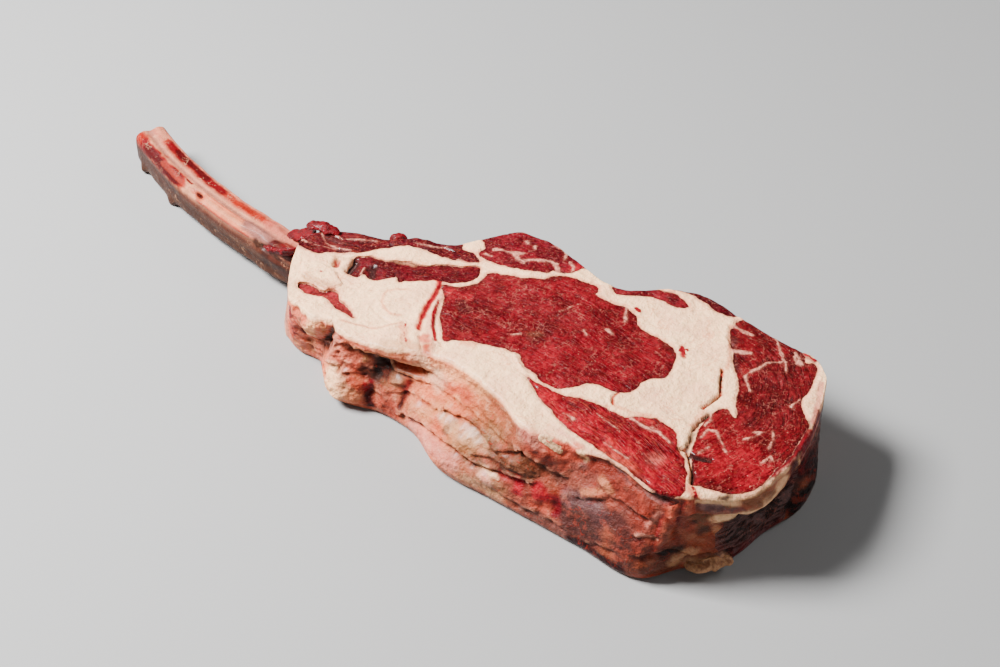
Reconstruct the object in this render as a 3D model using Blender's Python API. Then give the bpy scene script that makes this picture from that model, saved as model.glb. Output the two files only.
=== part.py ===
# Raw bison tomahawk steak, lying on its lower cut face.
# Metres, +Z up. +X runs from the sawn end of the rib bone to the far end of the meat.
# The origin is at the middle of the whole object's box, on the surface it lies on.
#
# The meat is one blank, lofted from its back rim to its front rim. Outlines seen on the cut face
# are carried straight down through the blank: each muscle is the blank inside its outline, and
# the fat is the blank outside all of them. The rib bone lies in a channel along the back.

import math

import bmesh
import bpy
import numpy as np

MM = 0.001

# ---- driving dimensions, in millimetres ----

THIN_END = 40.0           # thickness of the meat at the bone
THICK_END = 52.0          # thickness at the far end
THICK_FROM = -70.0        # X where the meat starts to get thicker
THICK_RUN = 180.0         # length over which it does
RIM_ROUND = 2.5           # rounding of the upper rim
FOOT_ROUND = 4.0          # rounding of the lower rim
BACK_LEAN = 2.5           # how far the back wall's foot stands outside its rim
SWELL = 0.9               # gentle rise and fall of the cut face
GAP = 0.3                 # clearance between neighbouring pieces
TIP_SHARE = 0.008         # share of the rims' length left out at each tip, which stays blunt

BONE_WIDTH = 20.0
BONE_HEIGHT = 23.0
BONE_SQUARENESS = 4.0     # exponent of the bone's rounded section
BONE_GROOVE = 1.1         # depth of the groove along the bone's upper face
BONE_END_ROUND = 0.9      # rounding of the sawn end

STATIONS = 55             # sections along the meat
TOP_STEPS = 7             # points across the cut face
BOTTOM_STEPS = 4          # points across the lower face
WALL_STEPS = 10           # points down each wall
BONE_STATIONS = 34
BONE_SIDES = 18

# Rims of the meat, from the corner at the bone to the far corner, X and Y.
BACK_RIM = [(-53, -31), (-67, -8), (-71, 4), (-66, 16), (-52, 24), (-31, 28), (-16, 37), (1, 42),
            (13, 54), (27, 67), (43, 68), (68, 61), (90, 53), (101, 54), (118, 65), (135, 71),
            (158, 68), (188, 63), (207, 60), (217, 51)]
FRONT_RIM = [(-53, -31), (-45, -39), (-30, -43), (-1, -47), (22, -44), (46, -39), (67, -42),
             (93, -50), (116, -60), (140, -55), (167, -58), (188, -62), (204, -52), (223, -37),
             (229, -15), (229, 0), (225, 26), (217, 51)]
FRONT_FOOT = [(-61, -29), (-45, -36), (-29, -37), (-19, -47), (-4, -54), (21, -50), (40, -52),
              (68, -66), (100, -68), (127, -69), (150, -70), (188, -70), (199, -56), (215, -39),
              (222, -12), (229, 10), (228, 25), (218, 48)]

# Muscles on the cut face. An outline that reaches a wall runs past it.
MUSCLES = {
    "eye_muscle": [(152, 8), (144, -3), (144, -9), (140, -14), (126, -16), (115, -27), (106, -29),
        (96, -26), (82, -17.5), (60, -20.5), (45, -27.5), (32, -13), (24, 2), (19, 7), (20, 10.5),
        (27, 12), (32, 18), (33, 30), (50, 33.5), (62, 38), (65, 43), (72, 46), (88, 47.5),
        (91, 44), (91, 41.5), (110, 41), (117, 38.5), (123, 32.5), (142, 29), (148, 24),
        (151.5, 15)],
    "cap_muscle": [(162, 66), (175, 72), (190, 70), (200, 60), (203, 55.5), (207, 56), (211, 51),
        (214, 38), (214, 30), (217, 24), (224.5, 14), (226.5, -8), (224, -29), (216, -41),
        (203, -46), (197, -46), (191, -38), (185, -24), (181.5, -5), (183, 2), (188, 5), (192, 3.5),
        (190, 10), (184, 22), (176, 31), (163, 51), (161, 57)],
    "flank_muscle": [(96, -30), (112, -30), (128, -27), (149, -26), (154, -22.5), (162, -20),
        (170, -20), (175, -22.5), (178, -27.5), (188, -37), (196, -53), (192.5, -57), (186, -58.5),
        (178, -56.5), (150, -49.5), (126, -44.5), (110, -38.5)],
    "inner_muscle": [(28.5, 28), (30, 22), (28, 17), (23, 13), (12, 10), (-1, 3), (-3, 0.5),
        (-8, 3), (-15, -3.5), (-20, -4), (-24, -2.5), (-26, -5.5), (-32, -5.5), (-35, -3), (-37, 7),
        (-30, 11.5), (-19, 13), (-8, 18.5), (0, 20), (11, 27), (25, 32.5)],
    "rib_muscle": [(-78, 0), (-68, -2.2), (-57, -2), (-53, 2), (-37.5, 10), (-32, 17), (-19, 27),
        (-12, 29.5), (12, 31), (23.5, 35), (15, 41), (9, 41.5), (4, 46), (-16, 46), (-31, 40),
        (-76, 28)],
    "lobe_muscle": [(8, 58), (22, 76), (50, 78), (74, 68), (77, 59), (73.5, 56), (72, 51),
        (69, 47.5), (65, 45.5), (62, 46), (60, 42.5), (42, 38), (34, 37.5), (21, 39.5), (18, 42),
        (18, 47)],
    "oval_muscle": [(95, 50), (96, 57), (106, 64), (124, 63.5), (132, 61.5), (136, 58.5),
        (133, 55.5), (118, 55.5), (112, 54), (102, 48.5)],
    "edge_muscle": [(121, 67), (123, 78), (142, 80), (154, 77), (158, 67), (150, 63.5), (138, 66.5)],
    "slit_muscle": [(-6, -34), (-10, -35), (-27, -27.5), (-34, -27.5), (-42, -31), (-46, -29),
        (-49, -24), (-32, -24), (-29, -20.5), (-20, -26)],
}

# Middle line of the rib bone, X, Y and Z, from its sawn end to where it stops in the meat.
BONE_LINE = [(-225.0, 49.5, 12.4), (-197, 36.5, 12.6), (-174, 28.5, 13.2), (-150, 21.5, 14.0),
             (-128, 16, 15.0), (-107, 12, 16.0), (-84, 8, 17.0), (-62, 6.5, 18.0),
             (-42, 9.5, 18.0), (-27, 14.5, 18.0), (-11, 22, 18.0), (2, 29, 18.0)]
# Knobs of gristle on the bone: share of its length, angle round it, height, reach.
BONE_KNOBS = [(0.035, 218, 2.2, 7.0), (0.185, 232, 2.4, 8.0), (0.29, 128, -1.6, 6.0),
              (0.47, 130, 1.4, 9.0), (0.58, 205, 1.2, 12.0)]

# Folds and lumps of the front wall: share of the rim's length, share of the height going down,
# push outwards (inwards if negative), reach along the wall, reach up and down it.
WALL_FORMS = [
    (0.078, 0.18, 3.0, 7, 0.20),      # white roll below the rim at the bone end
    (0.106, 0.28, -3.8, 7, 0.24),     # hollow beside the roll
    (0.090, 0.55, -2.4, 9, 0.16),     # hollow under the roll
    (0.045, 0.62, 1.5, 8, 0.24),      # thin edge beside the bone
    (0.126, 0.30, 1.8, 6, 0.22),      # grey fin
    (0.215, 0.04, 3.2, 26, 0.07),     # overhanging ledge of fat
    (0.190, 0.30, -4.5, 14, 0.13),    # recess under the ledge
    (0.205, 0.52, -4.5, 13, 0.15),    # deeper part of the recess
    (0.240, 0.26, -3.0, 13, 0.08),    # recess beside the ledge's end
    (0.150, 0.70, 3.6, 12, 0.24),     # white lobe at the foot
    (0.172, 0.90, 2.6, 13, 0.14),     # the lobe's lower end
    (0.275, 0.66, 3.2, 13, 0.14),     # folded tan lobe, first bulge
    (0.320, 0.56, 3.0, 14, 0.14),     # second bulge
    (0.375, 0.54, 2.8, 13, 0.12),     # third bulge
    (0.440, 0.46, 3.0, 15, 0.12),     # fourth bulge
    (0.360, 0.74, -1.8, 30, 0.06),    # crease below the folds
    (0.330, 0.20, 1.6, 26, 0.12),     # membranes above them
    (0.420, 0.14, 1.8, 22, 0.12),     # the membranes' right end
    (0.340, 0.90, 1.8, 26, 0.12),     # smooth skin at the foot
    (0.430, 0.76, 2.4, 9, 0.10),      # white knob
    (0.500, 0.16, 2.2, 15, 0.15),     # shoulder under the muscle's edge
    (0.528, 0.74, -2.0, 9, 0.12),     # bruise
    (0.570, 0.32, 1.6, 11, 0.08),     # ridge on the silverskin
    (0.615, 0.09, -2.0, 26, 0.06),    # groove under the cut edge of the muscle
    (0.672, 0.40, 2.6, 7, 0.32),      # upright fold at the corner
    (0.706, 0.36, -1.6, 8, 0.14),     # hollow past the corner
    (0.745, 0.94, 3.2, 10, 0.10),     # scrap of fat at the foot
    (0.770, 0.12, 2.2, 14, 0.10),     # rim of tan fat
    (0.830, 0.12, 1.0, 11, 0.12),     # the rim's right end
    (0.800, 0.55, -6.0, 22, 0.22),    # dark hollow at the far end
    (0.860, 0.50, -4.5, 16, 0.22),    # the hollow's right end
]

# Lump of meat that stands on the back rim beside the bone, middle and half sizes.
SCRAP_AT = (-66, 18, 41)
SCRAP_HALF = (10.5, 4.5, 3.6)
SCRAP_TURN = 20           # degrees

COLOURS = {
    "fat": ((0.78, 0.62, 0.50), 0.42),
    "meat": ((0.28, 0.018, 0.022), 0.38),
    "bone": ((0.62, 0.36, 0.28), 0.45),
}


def ease(share):
    """Smooth step from 0 to 1."""
    share = np.clip(share, 0.0, 1.0)
    return share * share * (3.0 - 2.0 * share)


def along(points, share):
    """Points of a smooth curve through the given ones, at shares of its length."""
    points = np.array(points, dtype=float)
    steps = np.linalg.norm(np.diff(points, axis=0), axis=1)
    knots = np.concatenate([[0.0], np.cumsum(steps)]) / steps.sum()
    slopes = np.gradient(points, knots, axis=0)
    span = np.clip(np.searchsorted(knots, share, side="right") - 1, 0, len(knots) - 2)
    width = (knots[span + 1] - knots[span])[:, None]
    u = (share - knots[span])[:, None] / width
    start = (2 * u**3 - 3 * u**2 + 1) * points[span] + (u**3 - 2 * u**2 + u) * width * slopes[span]
    finish = (3 * u**2 - 2 * u**3) * points[span + 1] + (u**3 - u**2) * width * slopes[span + 1]
    return start + finish


def length_of(points):
    """Length of the line through the given points."""
    return np.linalg.norm(np.diff(np.array(points, dtype=float), axis=0), axis=1).sum()


def closed_outline(points, steps_per_side=2):
    """Smooth closed outline through the given points (Catmull-Rom)."""
    points = np.array(points, dtype=float)
    before, after = np.roll(points, 1, axis=0), np.roll(points, -1, axis=0)
    beyond = np.roll(points, -2, axis=0)
    outline = []
    for u in np.arange(steps_per_side) / steps_per_side:
        outline.append(0.5 * (2 * points + (after - before) * u
                              + (2 * before - 5 * points + 4 * after - beyond) * u**2
                              + (3 * points - before - 3 * after + beyond) * u**3))
    return np.stack(outline, axis=1).reshape(-1, 2)


def grown(outline, distance):
    """The outline moved outwards by a small distance."""
    tangent = np.roll(outline, -1, axis=0) - np.roll(outline, 1, axis=0)
    normal = np.stack([tangent[:, 1], -tangent[:, 0]], axis=1)
    normal /= np.linalg.norm(normal, axis=1)[:, None]
    x, y = outline[:, 0], outline[:, 1]
    area = np.sum(x * np.roll(y, -1) - y * np.roll(x, -1))
    return outline + normal * distance * math.copysign(1.0, area)


def cut_face(x, y):
    """Height of the upper cut face."""
    height = THIN_END + (THICK_END - THIN_END) * ease((x - THICK_FROM) / THICK_RUN)
    return height + SWELL * np.sin(x / 17.0 + 0.6) * np.cos(y / 13.0 + 0.4)


def wall_push(share, down):
    """How far the front wall's folds and lumps stand out."""
    rim_length = length_of(FRONT_RIM)
    push = np.zeros(np.broadcast(share, down).shape)
    for at, level, height, reach, spread in WALL_FORMS:
        far = ((share - at) * rim_length / reach) ** 2 + ((down - level) / spread) ** 2
        push += height * np.exp(-far)
    fade = ease(share / 0.05) * ease((1.0 - share) / 0.05)
    return push * fade * ease((1.0 - down) / 0.04 + 0.2)


def outward_of(curve, turn):
    """Level direction at right angles to a rim."""
    run = np.gradient(curve, axis=0)
    outward = np.stack([run[:, 1], -run[:, 0]], axis=1) * turn
    return outward / np.linalg.norm(outward, axis=1)[:, None]


def steak_sections():
    """Closed sections of the blank, as an array of stations, points and coordinates."""
    even = np.linspace(0.0, 1.0, STATIONS)
    packed = 0.5 - 0.5 * np.cos(math.pi * even)
    share = TIP_SHARE + (1.0 - 2.0 * TIP_SHARE) * 0.5 * (even + packed)

    back, front = along(BACK_RIM, share), along(FRONT_RIM, share)
    front_foot = along(FRONT_FOOT, share)
    across = front - back
    width = np.linalg.norm(across, axis=1)[:, None]
    across /= width
    tip = 1.0 - ease(share / 0.07)[:, None]
    far_tip = 1.0 - ease((1.0 - share) / 0.07)[:, None]
    lean = (np.array(FRONT_FOOT[0]) - FRONT_RIM[0]) * tip
    lean = lean + (np.array(FRONT_FOOT[-1]) - FRONT_RIM[-1]) * far_tip
    back_foot = back + lean - across * BACK_LEAN * (1.0 - tip) * (1.0 - far_tip)

    rim = np.minimum(RIM_ROUND, 0.4 * width)
    foot_across = front_foot - back_foot
    foot_width = np.linalg.norm(foot_across, axis=1)[:, None]
    foot_across /= foot_width
    foot = np.minimum(FOOT_ROUND, 0.4 * foot_width)

    def wall(upper, lower, outward, push):
        """Points down a wall, from the rim's rounding to the foot's."""
        rows = []
        top = cut_face(upper[:, :1], upper[:, 1:]) - rim
        for down in np.linspace(0.0, 1.0, WALL_STEPS):
            flat = upper + (lower - upper) * ease(down) + outward * push(share[:, None], down)
            rows.append(np.hstack([flat, top + (foot - top) * down]))
        return rows

    def rim_round(edge, inward):
        """Points of the upper rim's rounding, going up and inwards."""
        rows = []
        for angle in np.radians([35.0, 65.0, 90.0]):
            flat = edge + inward * rim * (1.0 - math.cos(angle))
            height = cut_face(flat[:, :1], flat[:, 1:]) - rim * (1.0 - math.sin(angle))
            rows.append(np.hstack([flat, height]))
        return rows

    def foot_round(edge, inward):
        """Points of the lower rim's rounding, going down and inwards."""
        rows = []
        for angle in np.radians([35.0, 65.0, 90.0]):
            flat = edge + inward * foot * (1.0 - math.cos(angle))
            rows.append(np.hstack([flat, foot * (1.0 - math.sin(angle))]))
        return rows

    front_wall = wall(front, front_foot, outward_of(front, 1.0), wall_push)
    back_wall = wall(back, back_foot, -across, lambda part, down: 0.0 * part)
    front_top = rim_round(front, -across)
    back_top = rim_round(back, across)
    front_base = foot_round(front_wall[-1][:, :2], -foot_across)
    back_base = foot_round(back_foot, foot_across)

    top = []
    for step in np.linspace(0.0, 1.0, TOP_STEPS + 2)[1:-1]:
        flat = front_top[-1][:, :2] * (1.0 - step) + back_top[-1][:, :2] * step
        top.append(np.hstack([flat, cut_face(flat[:, :1], flat[:, 1:])]))
    base = []
    for step in np.linspace(0.0, 1.0, BOTTOM_STEPS + 2)[1:-1]:
        base.append(back_base[-1] * (1.0 - step) + front_base[-1] * step)

    rows = front_wall[::-1] + front_top + top + back_top[::-1] + back_wall
    rows += back_base + base + front_base[::-1]
    return np.stack(rows, axis=1)


def bone_sections(grow=0.0, longer=0.0):
    """Closed sections of the rib bone, upright across its middle line."""
    share = np.linspace(0.0, 1.0, BONE_STATIONS)
    middle = along(BONE_LINE, share)
    run = np.gradient(middle[:, :2], axis=0)
    run /= np.linalg.norm(run, axis=1)[:, None]
    middle[-1, :2] += run[-1] * longer
    side = np.stack([-run[:, 1], run[:, 0]], axis=1)[:, None, :]

    angle = np.linspace(0.0, 2.0 * math.pi, BONE_SIDES, endpoint=False)[None, :]
    power = 2.0 / BONE_SQUARENESS
    half_width, half_height = BONE_WIDTH / 2.0, BONE_HEIGHT / 2.0
    right = half_width * np.sign(np.cos(angle)) * np.abs(np.cos(angle)) ** power
    up = half_height * np.sign(np.sin(angle)) * np.abs(np.sin(angle)) ** power

    length = length_of(BONE_LINE)
    bulge = np.zeros((BONE_STATIONS, BONE_SIDES))
    for at, turn, height, reach in BONE_KNOBS:
        swing = np.abs((np.degrees(angle) - turn + 180.0) % 360.0 - 180.0) / 26.0
        bulge += height * np.exp(-((share[:, None] - at) * length / reach) ** 2 - swing**2)
    on_top = np.sin(angle) > 0.5
    groove = BONE_GROOVE * np.exp(-(right / 2.6) ** 2) * on_top
    scale = 1.0 + bulge / (BONE_WIDTH * 0.6)
    trim = np.ones((BONE_STATIONS, 1))
    if grow == 0.0:
        trim[0] = 1.0 - BONE_END_ROUND / half_width
        middle[0, :2] += run[0] * 0.1

    right = (right * scale + grow * np.cos(angle)) * trim
    up = (up * scale - groove + grow * np.sin(angle)) * trim
    flat = middle[:, None, :2] + side * right[..., None]
    height = middle[:, None, 2] + up
    return np.concatenate([flat, height[..., None]], axis=2)


def loft(name, sections):
    """Mesh object through closed sections of equal count, with a face over each end."""
    shape = bmesh.new()
    loops = []
    for section in sections:
        loops.append([shape.verts.new(point) for point in section * MM])
    count = len(loops[0])
    for one, other in zip(loops[:-1], loops[1:]):
        for i in range(count):
            k = (i + 1) % count
            shape.faces.new((one[i], one[k], other[k], other[i]))
    shape.faces.new(loops[0])
    shape.faces.new(loops[-1])
    bmesh.ops.triangulate(shape, faces=shape.faces)
    bmesh.ops.recalc_face_normals(shape, faces=shape.faces)
    mesh = bpy.data.meshes.new(name)
    shape.to_mesh(mesh)
    shape.free()
    return bpy.data.objects.new(name, mesh)


def prism(name, outline, low, high):
    """Upright solid over a flat outline, made from a filled curve."""
    curve = bpy.data.curves.new(name, "CURVE")
    curve.dimensions = "2D"
    curve.fill_mode = "BOTH"
    curve.extrude = (high - low) / 2.0 * MM
    spline = curve.splines.new("POLY")
    spline.points.add(len(outline) - 1)
    for point, (x, y) in zip(spline.points, outline):
        point.co = (x * MM, y * MM, 0.0, 1.0)
    spline.use_cyclic_u = True
    drawn = bpy.data.objects.new(name, curve)
    bpy.context.scene.collection.objects.link(drawn)
    drawn.location.z = (low + high) / 2.0 * MM
    bpy.context.view_layer.update()
    solid = bpy.data.meshes.new_from_object(drawn.evaluated_get(bpy.context.evaluated_depsgraph_get()))
    solid.transform(drawn.matrix_world)
    bpy.data.objects.remove(drawn)
    shape = bmesh.new()
    shape.from_mesh(solid)
    bmesh.ops.remove_doubles(shape, verts=shape.verts, dist=1e-6)
    bmesh.ops.recalc_face_normals(shape, faces=shape.faces)
    shape.to_mesh(solid)
    shape.free()
    return bpy.data.objects.new(name, solid)


def collection(name):
    """New collection in the scene."""
    group = bpy.data.collections.new(name)
    bpy.context.scene.collection.children.link(group)
    return group


def guide(item, group):
    """File a cutter, hidden from renders."""
    group.objects.link(item)
    item.hide_render = True
    item.display_type = "WIRE"
    return item


def cut(item, label, operation, cutter):
    """Boolean with one cutter, kept live."""
    step = item.modifiers.new(label, "BOOLEAN")
    step.operation = operation
    step.solver = "EXACT"
    if isinstance(cutter, bpy.types.Collection):
        step.operand_type = "COLLECTION"
        step.collection = cutter
    else:
        step.object = cutter


def material(name, colour, roughness):
    """Plain finish of one kind of tissue."""
    finish = bpy.data.materials.new(name)
    finish.use_nodes = True
    shader = finish.node_tree.nodes["Principled BSDF"]
    shader.inputs["Base Color"].default_value = (*colour, 1.0)
    shader.inputs["Roughness"].default_value = roughness
    shader.inputs["Metallic"].default_value = 0.0
    return finish


def scrap():
    """Small lump of meat on the back rim, an uneven ball pressed long and flat."""
    shape = bmesh.new()
    bmesh.ops.create_icosphere(shape, subdivisions=2, radius=1.0)
    turn = math.radians(SCRAP_TURN)
    for vertex in shape.verts:
        x, y, z = vertex.co
        uneven = 1.0 + 0.14 * math.sin(5.0 * x + 2.0) * math.cos(4.0 * y)
        x, y, z = x * SCRAP_HALF[0] * uneven, y * SCRAP_HALF[1], z * SCRAP_HALF[2] * uneven
        vertex.co = (
            (SCRAP_AT[0] + x * math.cos(turn) - y * math.sin(turn)) * MM,
            (SCRAP_AT[1] + x * math.sin(turn) + y * math.cos(turn)) * MM,
            (SCRAP_AT[2] + z) * MM,
        )
    mesh = bpy.data.meshes.new("scrap")
    shape.to_mesh(mesh)
    shape.free()
    return bpy.data.objects.new("scrap", mesh)


def build():
    """The steak: bone, muscles and the fat between and around them."""
    for item in list(bpy.data.objects):
        bpy.data.objects.remove(item)

    steak = collection("tomahawk_steak")
    guides = collection("guides")
    pockets = collection("pockets")
    finishes = {name: material(name, colour, rough) for name, (colour, rough) in COLOURS.items()}

    bone = loft("rib_bone", bone_sections())
    bone.data.materials.append(finishes["bone"])
    steak.objects.link(bone)
    channel = guide(loft("bone_channel", bone_sections(grow=GAP, longer=GAP)), pockets)
    lump = guide(scrap(), guides)

    blank = loft("fat_cover", steak_sections())
    for name, points in MUSCLES.items():
        outline = closed_outline(points)
        inside = prism(name + "_outline", grown(outline, -GAP / 2.0), -10.0, 80.0)
        guide(inside, guides)
        pocket = prism(name + "_pocket", grown(outline, GAP / 2.0), -10.0, 80.0)
        guide(pocket, pockets)
        muscle = bpy.data.objects.new(name, blank.data.copy())
        muscle.data.materials.append(finishes["meat"])
        steak.objects.link(muscle)
        cut(muscle, "outline", "INTERSECT", inside)
        if name in ("rib_muscle", "inner_muscle"):
            cut(muscle, "channel", "DIFFERENCE", channel)
        if name == "rib_muscle":
            cut(muscle, "scrap", "UNION", lump)

    blank.data.materials.append(finishes["fat"])
    steak.objects.link(blank)
    cut(blank, "pockets", "DIFFERENCE", pockets)

    bpy.context.view_layer.update()


build()
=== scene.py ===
# Raw bison tomahawk steak: fat, muscles and rib bone as fine surfaces over the solid model.
# Shapes are worked out in millimetres and turned into metres when a mesh is made.
# +X runs from the sawn end of the bone to the far end of the meat, +Z is up.

import math
import bpy
import numpy as np
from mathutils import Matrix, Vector, kdtree


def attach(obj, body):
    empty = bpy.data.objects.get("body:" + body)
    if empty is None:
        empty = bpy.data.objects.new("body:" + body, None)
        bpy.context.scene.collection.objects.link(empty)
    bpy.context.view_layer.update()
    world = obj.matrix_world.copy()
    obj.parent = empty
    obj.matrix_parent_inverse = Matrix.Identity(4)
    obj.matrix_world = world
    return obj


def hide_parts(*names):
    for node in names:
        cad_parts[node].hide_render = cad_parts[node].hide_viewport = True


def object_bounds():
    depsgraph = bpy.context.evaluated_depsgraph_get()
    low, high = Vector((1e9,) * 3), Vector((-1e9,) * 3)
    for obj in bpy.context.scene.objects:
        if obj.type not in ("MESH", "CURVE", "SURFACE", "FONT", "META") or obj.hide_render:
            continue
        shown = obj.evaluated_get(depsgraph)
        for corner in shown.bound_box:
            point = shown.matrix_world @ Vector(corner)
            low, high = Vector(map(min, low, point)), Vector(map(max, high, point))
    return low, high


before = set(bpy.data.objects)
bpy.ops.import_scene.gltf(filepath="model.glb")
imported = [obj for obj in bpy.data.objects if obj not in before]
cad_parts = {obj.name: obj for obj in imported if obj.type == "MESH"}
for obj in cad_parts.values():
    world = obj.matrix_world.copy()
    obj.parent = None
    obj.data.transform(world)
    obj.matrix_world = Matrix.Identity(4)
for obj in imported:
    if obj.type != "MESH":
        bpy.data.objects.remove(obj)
cadLow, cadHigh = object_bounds()
mm = 0.001
print("frame loaded:", len(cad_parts), "nodes")


def addItem(name, data):
    item = bpy.data.objects.new(name, data)
    bpy.context.scene.collection.objects.link(item)
    return item


# camera, floor and lights: places and sizes in metres, powers in watts
view = dict(
    cameraAt=(0.4405, -0.5640, 0.6523), lookAt=(0.054, 0.009, 0.030), lens=65.0,
    floorSize=6.0, floorColour=(0.27, 0.268, 0.266, 1.0), floorRoughness=0.8,
    keyAt=(-0.78, -0.40, 1.10), keySize=0.5, keyPower=107.0,
    fillAt=(1.4, -0.7, 0.6), fillSize=1.2, fillPower=5.0,
    backAt=(0.95, 0.95, 0.90), backSize=0.6, backPower=7.0,
    skyColour=(0.93, 0.95, 1.0, 1.0), skyStrength=0.08,
)


def setAimed(item, place):
    # puts a camera or lamp at a place, with its -Z axis turned to the steak
    item.location = place
    item.rotation_euler = (Vector(view["lookAt"]) - item.location).to_track_quat("-Z", "Y").to_euler()


def setInputs(nodes, name, **values):
    for key, value in values.items():
        nodes[name].inputs[key.replace("_", " ")].default_value = value


def buildStage():
    cameraData = bpy.data.cameras.new("camera")
    cameraData.lens = view["lens"]
    camera = addItem("camera", cameraData)
    setAimed(camera, view["cameraAt"])
    bpy.context.scene.camera = camera

    for name in ("key", "fill", "back"):
        lamp = bpy.data.lights.new(name + "Lamp", "AREA")      # square soft box
        lamp.size = view[name + "Size"]
        lamp.energy = view[name + "Power"]
        setAimed(addItem(name + "Lamp", lamp), view[name + "At"])
    world = bpy.data.worlds.new("studio")
    world.use_nodes = True
    setInputs(world.node_tree.nodes, "Background", Color=view["skyColour"], Strength=view["skyStrength"])
    bpy.context.scene.world = world

    half = view["floorSize"] / 2
    mesh = bpy.data.meshes.new("floor")
    corners = [(-half, -half, 0), (half, -half, 0), (half, half, 0), (-half, half, 0)]
    mesh.from_pydata(corners, [], [(0, 1, 2, 3)])
    floor = addItem("floor", mesh)
    paper = bpy.data.materials.new("palePaper")
    paper.use_nodes = True
    setInputs(paper.node_tree.nodes, "Principled BSDF", Base_Color=view["floorColour"],
              Roughness=view["floorRoughness"])
    mesh.materials.append(paper)


buildStage()
print("stage ready")


# curves, fields and meshes that every piece uses

def ease(share):
    # 3s^2 - 2s^3 with s held between 0 and 1
    share = np.clip(share, 0.0, 1.0)
    return share * share * (3.0 - 2.0 * share)


def bell(*parts):
    # e to the power of minus the sum of the parts' squares
    total = -parts[0] ** 2
    for part in parts[1:]:
        total = total - part**2
    return np.exp(total)


def pairs(numbers):
    # X and Y in turn, made a list of places
    return np.reshape(numbers, (-1, 2)).astype(float)


def unit(rows):
    # each row divided by its length
    return rows / np.linalg.norm(rows, axis=1)[:, None]


def rightOf(run):
    # level direction at right angles to a run
    return unit(np.stack([run[:, 1], -run[:, 0]], axis=1))


def along(points, share):
    # cubic Hermite curve through the points, with slopes from their neighbours, at shares of its length
    points = np.array(points, dtype=float)
    steps = np.linalg.norm(np.diff(points, axis=0), axis=1)
    knots = np.concatenate([[0.0], np.cumsum(steps)]) / steps.sum()
    slopes = np.gradient(points, knots, axis=0)
    span = np.clip(np.searchsorted(knots, share, side="right") - 1, 0, len(knots) - 2)
    width = (knots[span + 1] - knots[span])[:, None]
    u = (share - knots[span])[:, None] / width
    start = (2 * u**3 - 3 * u**2 + 1) * points[span] + (u**3 - 2 * u**2 + u) * width * slopes[span]
    finish = (3 * u**2 - 2 * u**3) * points[span + 1] + (u**3 - u**2) * width * slopes[span + 1]
    return start + finish


def lengthOf(points):
    # sum of the straight steps
    return np.linalg.norm(np.diff(np.array(points, dtype=float), axis=0), axis=1).sum()


def runAlong(points):
    # length from the first point to each
    return np.concatenate([[0.0], np.cumsum(np.linalg.norm(np.diff(points, axis=0), axis=1))])


def roughField(places, size, seed, octaves=2, lattice=32):
    # random heights on a lattice of the given size, blended by eased weights, halved in size and
    # height for each octave; the result runs from about -1 to 1
    places = np.asarray(places, dtype=float)
    total = np.zeros(places.shape[:-1])
    height = 1.0
    for octave in range(octaves):
        heights = np.random.RandomState(seed + octave).uniform(-1.0, 1.0, (lattice, lattice, lattice))
        spot = places / (size / 2.0**octave) + 7.3 * (octave + 1)
        corner = np.floor(spot).astype(int)
        part = ease(spot - corner)
        sides = ((corner % lattice, 1 - part), ((corner + 1) % lattice, part))
        blend = 0.0
        for atX, shareX in sides:
            for atY, shareY in sides:
                for atZ, shareZ in sides:
                    found = heights[atX[..., 0], atY[..., 1], atZ[..., 2]]
                    blend = blend + found * shareX[..., 0] * shareY[..., 1] * shareZ[..., 2]
        total += blend * height
        height *= 0.5
    return total


def flatField(x, y, size, seed, octaves=2):
    # the same field over a plane
    x, y = np.broadcast_arrays(x, y)
    return roughField(np.stack([x, y, np.full(x.shape, seed * 1.7)], axis=-1), size, seed, octaves)


def lineDistance(places, line):
    # least distance to a run of straight pieces, and the same with a minus sign on the right of it
    best = np.full(len(places), 1e6)
    signed = np.full(len(places), 1e6)
    line = np.array(line, dtype=float)
    if len(line) == 1:
        line = np.vstack([line, line + 1e-4])
    for start, end in zip(line[:-1], line[1:]):
        run = end - start
        share = np.clip((places - start) @ run / (run @ run), 0.0, 1.0)
        off = places - start - share[:, None] * run
        far = np.linalg.norm(off, axis=1)
        nearer = far < best
        best = np.where(nearer, far, best)
        if places.shape[1] == 2:
            side = np.sign(run[0] * (places[:, 1] - start[1]) - run[1] * (places[:, 0] - start[0]))
            signed = np.where(nearer, far * side, signed)
    return best, signed


def nearby(places, spots, reach):
    # which places lie in the box round the spots, widened by a reach
    low, high = np.min(spots, axis=0) - reach, np.max(spots, axis=0) + reach
    return np.flatnonzero(np.all((places > low) & (places < high), axis=1))


def closedOutline(points, steps):
    # Catmull-Rom curve through the points and back to the first
    points = np.array(points, dtype=float)
    before, after = np.roll(points, 1, axis=0), np.roll(points, -1, axis=0)
    beyond = np.roll(points, -2, axis=0)
    u = (np.arange(steps) / steps)[None, :, None]
    p0, p1, p2, p3 = (part[:, None, :] for part in (before, points, after, beyond))
    curve = 0.5 * (2 * p1 + (p2 - p0) * u + (2 * p0 - 5 * p1 + 4 * p2 - p3) * u**2
                   + (3 * p1 - p0 - 3 * p2 + p3) * u**3)
    return curve.reshape(-1, 2)


def evenly(outline, step):
    # closed outline sampled again at equal steps of its length
    closed = np.vstack([outline, outline[:1]])
    run = runAlong(closed)
    at = np.linspace(0.0, run[-1], max(12, int(run[-1] / step)), endpoint=False)
    return np.stack([np.interp(at, run, closed[:, axis]) for axis in (0, 1)], axis=1)


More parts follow.
